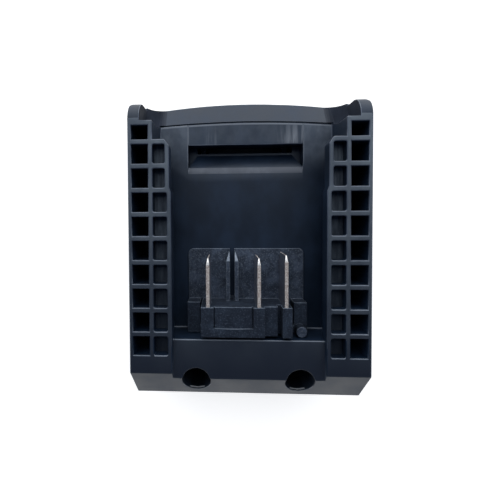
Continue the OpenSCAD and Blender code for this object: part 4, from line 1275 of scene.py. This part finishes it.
@dataclass
class Screws:
    """All four pairs of screws, with ridges for threads and a cross recess."""

    kinds: tuple[ScrewKind, ...] = (
        ScrewKind("front_screws", "shell_screws_front", LARGE, Facing.UP, (17.5, -45.9, 15.0), 10.0),
        ScrewKind("rear_screws", "shell_screws_rear", LARGE, Facing.DOWN, (35.0, 32.6, 10.8), 8.0),
        ScrewKind("block_screws", "carrier_screws", SMALL, Facing.DOWN, (18.7, -25.15, 21.6), 7.0),
        ScrewKind("holder_screws", "contact_block_screws", SMALL, Facing.UP, (19.75, -29.83, 8.8), 5.5),
    )
    sides: int = 40
    # Corners of a head from its top to its seat, as shares of its radius and height
    head: tuple[Pair, ...] = (
        (0, 1), (0.62, 0.97), (0.86, 0.82), (0.97, 0.55), (1, 0.3), (1, 0.06), (0.97, 0)
    )
    # Radii of the neck, of the ridges' roots and of the point, and the pitch, as shares of the shank's radius
    neck: float = 0.8
    root: float = 0.78
    point: float = 0.7
    pitch: float = 0.75
    # Start and end of a ridge's crest, and room before the first ridge, as shares of the pitch
    crest: Pair = (0.42, 0.52)
    lead_in: float = 0.5
    # Depth of the cross recess's mouth and floor by the head's height, and reach and half width of its wings
    recess: tuple[Triple, Triple] = ((1.4, 0.72, 0.15), (0.42, 0.3, 0.1))
    wings: int = 4

    def _blank(self, kind: ScrewKind) -> bmesh.types.BMesh:
        """Turns a screw without its recess, with its head below Z = 0.

        Args:
            kind: The pair that it is for.

        Returns:
            The mesh, to be freed by the caller.
        """
        stock, shank = kind.stock, kind.stock.shank_mm
        profile = [(stock.head_mm * out, -stock.head_height_mm * up) for out, up in self.head]
        profile.append((shank * self.neck, 0))
        pitch, root = shank * self.pitch, shank * self.root
        height = pitch * self.lead_in
        while height + pitch < kind.length_mm - shank:
            profile += [(root, height), *((shank, height + pitch * part) for part in self.crest)]
            height += pitch
        profile += [(root, height), (shank * self.point, kind.length_mm - shank), (0, kind.length_mm)]
        return turned(profile, self.sides)

    def _recess(self, stock: ScrewStock) -> bmesh.types.BMesh:
        """Makes the cutter for a cross recess, with wings that taper into the head.

        Args:
            stock: Stock of the screw.

        Returns:
            The mesh, to be freed by the caller.
        """
        form = bmesh.new()
        rings, head = [], stock.head_mm
        for depth, reach, half in self.recess:
            corners = []
            for wing in range(self.wings):
                turn = Matrix.Rotation(wing * math.tau / self.wings, 3, "Z")
                for x, y in ((half, -half), (reach, -half), (reach, half)):
                    corner = turn @ Vector((x * head, y * head, -stock.head_height_mm * depth))
                    corners.append(form.verts.new(corner * MM))
            rings.append(corners)
        low, top = rings
        for i in range(len(low)):
            form.faces.new((low[i - 1], low[i], top[i], top[i - 1]))
        form.faces.new(low)
        form.faces.new(top)
        bmesh.ops.recalc_face_normals(form, faces=form.faces)
        return form

    def _screw(self, kind: ScrewKind) -> Piece:
        """Makes one screw at the origin.

        Args:
            kind: The pair that it is for.

        Returns:
            The screw, to be removed when the pair is set.
        """
        screw, cutter = (
            new_object(f"{kind.name}_blank", form_mesh(form, kind.name))
            for form in (self._blank(kind), self._recess(kind.stock))
        )
        cut = screw.modifiers.new("recess", "BOOLEAN")
        cut.operation = "DIFFERENCE"
        cut.solver = "EXACT"
        cut.object = cutter
        plain_mesh(screw)
        bpy.data.objects.remove(cutter)
        return screw

    def build(self) -> dict[ScrewKind, Piece]:
        """Builds every pair.

        Returns:
            The pieces by their kind.
        """
        tree = pair_tree()
        finishes = {LARGE: OXIDE.material(), SMALL: ZINC.material()}
        pieces = {}
        for kind in self.kinds:
            x, y, z = kind.place_mm
            points = bpy.data.meshes.new(kind.name)
            points.from_pydata([Vector((side * x, y, z)) * MM for side in BOTH_SIDES], [], [])
            screw = self._screw(kind)
            turn = (kind.facing.value, 0.0, 0.0)
            inputs = {"Part": screw, "Turn": turn, "Material": finishes[kind.stock]}
            pieces[kind] = grown(kind.name, points, tree, inputs)
            bpy.data.objects.remove(screw)
        return pieces

    def dress(self, pieces: dict[ScrewKind, Piece]) -> None:
        """Puts every pair on the housing."""
        for kind, piece in pieces.items():
            dress({kind.node: piece}, HOUSING, kind.stock.slot)


@dataclass
class Studio:
    """Camera, lamp, floor and world."""

    eye_mm: Triple = (-7.7, 10.4, 156.4)
    turn_deg: Triple = (1.64, -3.21, 0.29)
    focal_px: float = 357.2
    axis_px: Pair = (204.4, 226.0)
    sensor_mm: float = 36.0
    clip_start: float = 0.005
    # Middle, aim and size of the lamp in metres, and the brightness of its face, where one is white
    lamp_place: Triple = (0, 0.41, 0.325)
    lamp_aim: Triple = (0, 0, 0.02)
    lamp_size: Pair = (1.0, 0.8)
    lamp_radiance: float = 1.6
    floor_half: float = 6.0
    floor_low: float = -0.0001
    floor_shade: str = "#e6e6e4"
    floor_glow: float = 0.75
    front_wall: float = 0.95
    other_walls: float = 0.4
    ceiling: float = 0.1
    ceiling_tint: str = "#a4c6ff"
    # Parts of a direction along Y where the walls brighten, and along Z where the ceiling dims and cools
    wall_span: Pair = (-0.1, 0.7)
    ceiling_span: Pair = (0.15, 0.8)
    cool_span: Pair = (0.3, 0.8)

    def camera(self) -> None:
        """Sets the camera of the photograph."""
        data = bpy.data.cameras.new("photo_camera")
        data.sensor_width = self.sensor_mm
        data.sensor_fit = "HORIZONTAL"
        data.lens = self.sensor_mm * self.focal_px / FRAME_PX
        data.shift_x = 0.5 - self.axis_px[0] / FRAME_PX
        data.shift_y = self.axis_px[1] / FRAME_PX - 0.5
        data.clip_start = self.clip_start
        camera = new_object("photo_camera", data)
        turn = Vector(math.radians(angle) for angle in self.turn_deg)
        rotation = Quaternion(turn.normalized(), turn.length).to_matrix().transposed().to_4x4()
        camera.matrix_world = Matrix.Translation(Vector(self.eye_mm) * MM) @ rotation
        bpy.context.scene.camera = camera

    def lamp(self) -> None:
        """Adds one soft lamp."""
        data = bpy.data.lights.new("window_softbox", "AREA")
        data.shape = "RECTANGLE"
        data.size, data.size_y = self.lamp_size
        data.energy = self.lamp_radiance * math.pi * self.lamp_size[0] * self.lamp_size[1]
        lamp = new_object("window_softbox", data)
        lamp.location = self.lamp_place
        beam = Vector(self.lamp_aim) - Vector(self.lamp_place)
        lamp.rotation_euler = beam.to_track_quat("-Z", "Y").to_euler()

    def floor(self) -> None:
        """Lays a pale floor that the camera sees as white, with the part's shadow on it."""
        mesh = bpy.data.meshes.new("floor")
        half, low = self.floor_half, self.floor_low
        corners = [(-half, -half, low), (half, -half, low), (half, half, low), (-half, half, low)]
        mesh.from_pydata(corners, [], [(0, 1, 2, 3)])
        piece = new_object("floor", mesh)
        material, tree, _ = new_material("matte_white_paper")
        tree.nodes.clear()
        paper = add_node(tree, "ShaderNodeBsdfDiffuse", {"Color": linear(self.floor_shade)}).outputs[0]
        white = add_node(tree, "ShaderNodeEmission", {"Color": (1, 1, 1, 1), "Strength": self.floor_glow})
        seen = add_node(tree, "ShaderNodeAddShader", {0: paper, 1: white.outputs[0]})
        path = add_node(tree, "ShaderNodeLightPath").outputs
        direct = calc(tree, "MAXIMUM", path["Is Camera Ray"], path["Is Transmission Ray"])
        shown = calc(tree, "MAXIMUM", direct, path["Is Glossy Ray"])
        choice = add_node(tree, "ShaderNodeMixShader", {0: shown, 1: paper, 2: seen.outputs[0]})
        add_node(tree, "ShaderNodeOutputMaterial", {"Surface": choice.outputs[0]})
        mesh.materials.append(material)

    def world(self) -> None:
        """Sets a room with a white wall at the entry end, dimmer walls elsewhere and a dim, cool ceiling."""
        world = bpy.data.worlds.new("studio_room")
        bpy.context.scene.world = world
        world.use_nodes = True
        tree = world.node_tree
        tree.nodes.clear()
        _, y, z = axes(tree, "Generated")
        walls = ramp(tree, y, *self.wall_span, self.other_walls, self.front_wall)
        strength = ramp(tree, z, *self.ceiling_span, walls, self.ceiling)
        tint = blend(tree, ramp(tree, z, *self.cool_span, smooth=False), "#ffffff", self.ceiling_tint)
        room = add_node(tree, "ShaderNodeBackground", {"Color": tint, "Strength": strength})
        add_node(tree, "ShaderNodeOutputWorld", {"Surface": room.outputs[0]})

    def build(self) -> None:
        """Sets up the whole studio."""
        self.camera()
        self.floor()
        self.world()
        self.lamp()
        bpy.context.scene.view_settings.view_transform = "Standard"


def main() -> None:
    """Builds every sub-assembly in order."""
    logging.basicConfig(level=logging.INFO, format="%(name)s %(message)s")
    Studio().build()
    for assembly in (Shells(), Terminals(), Contacts(), Leads(), ReleaseLatch(), Screws()):
        assembly.dress(assembly.build())


if __name__ == "__main__":
    main()
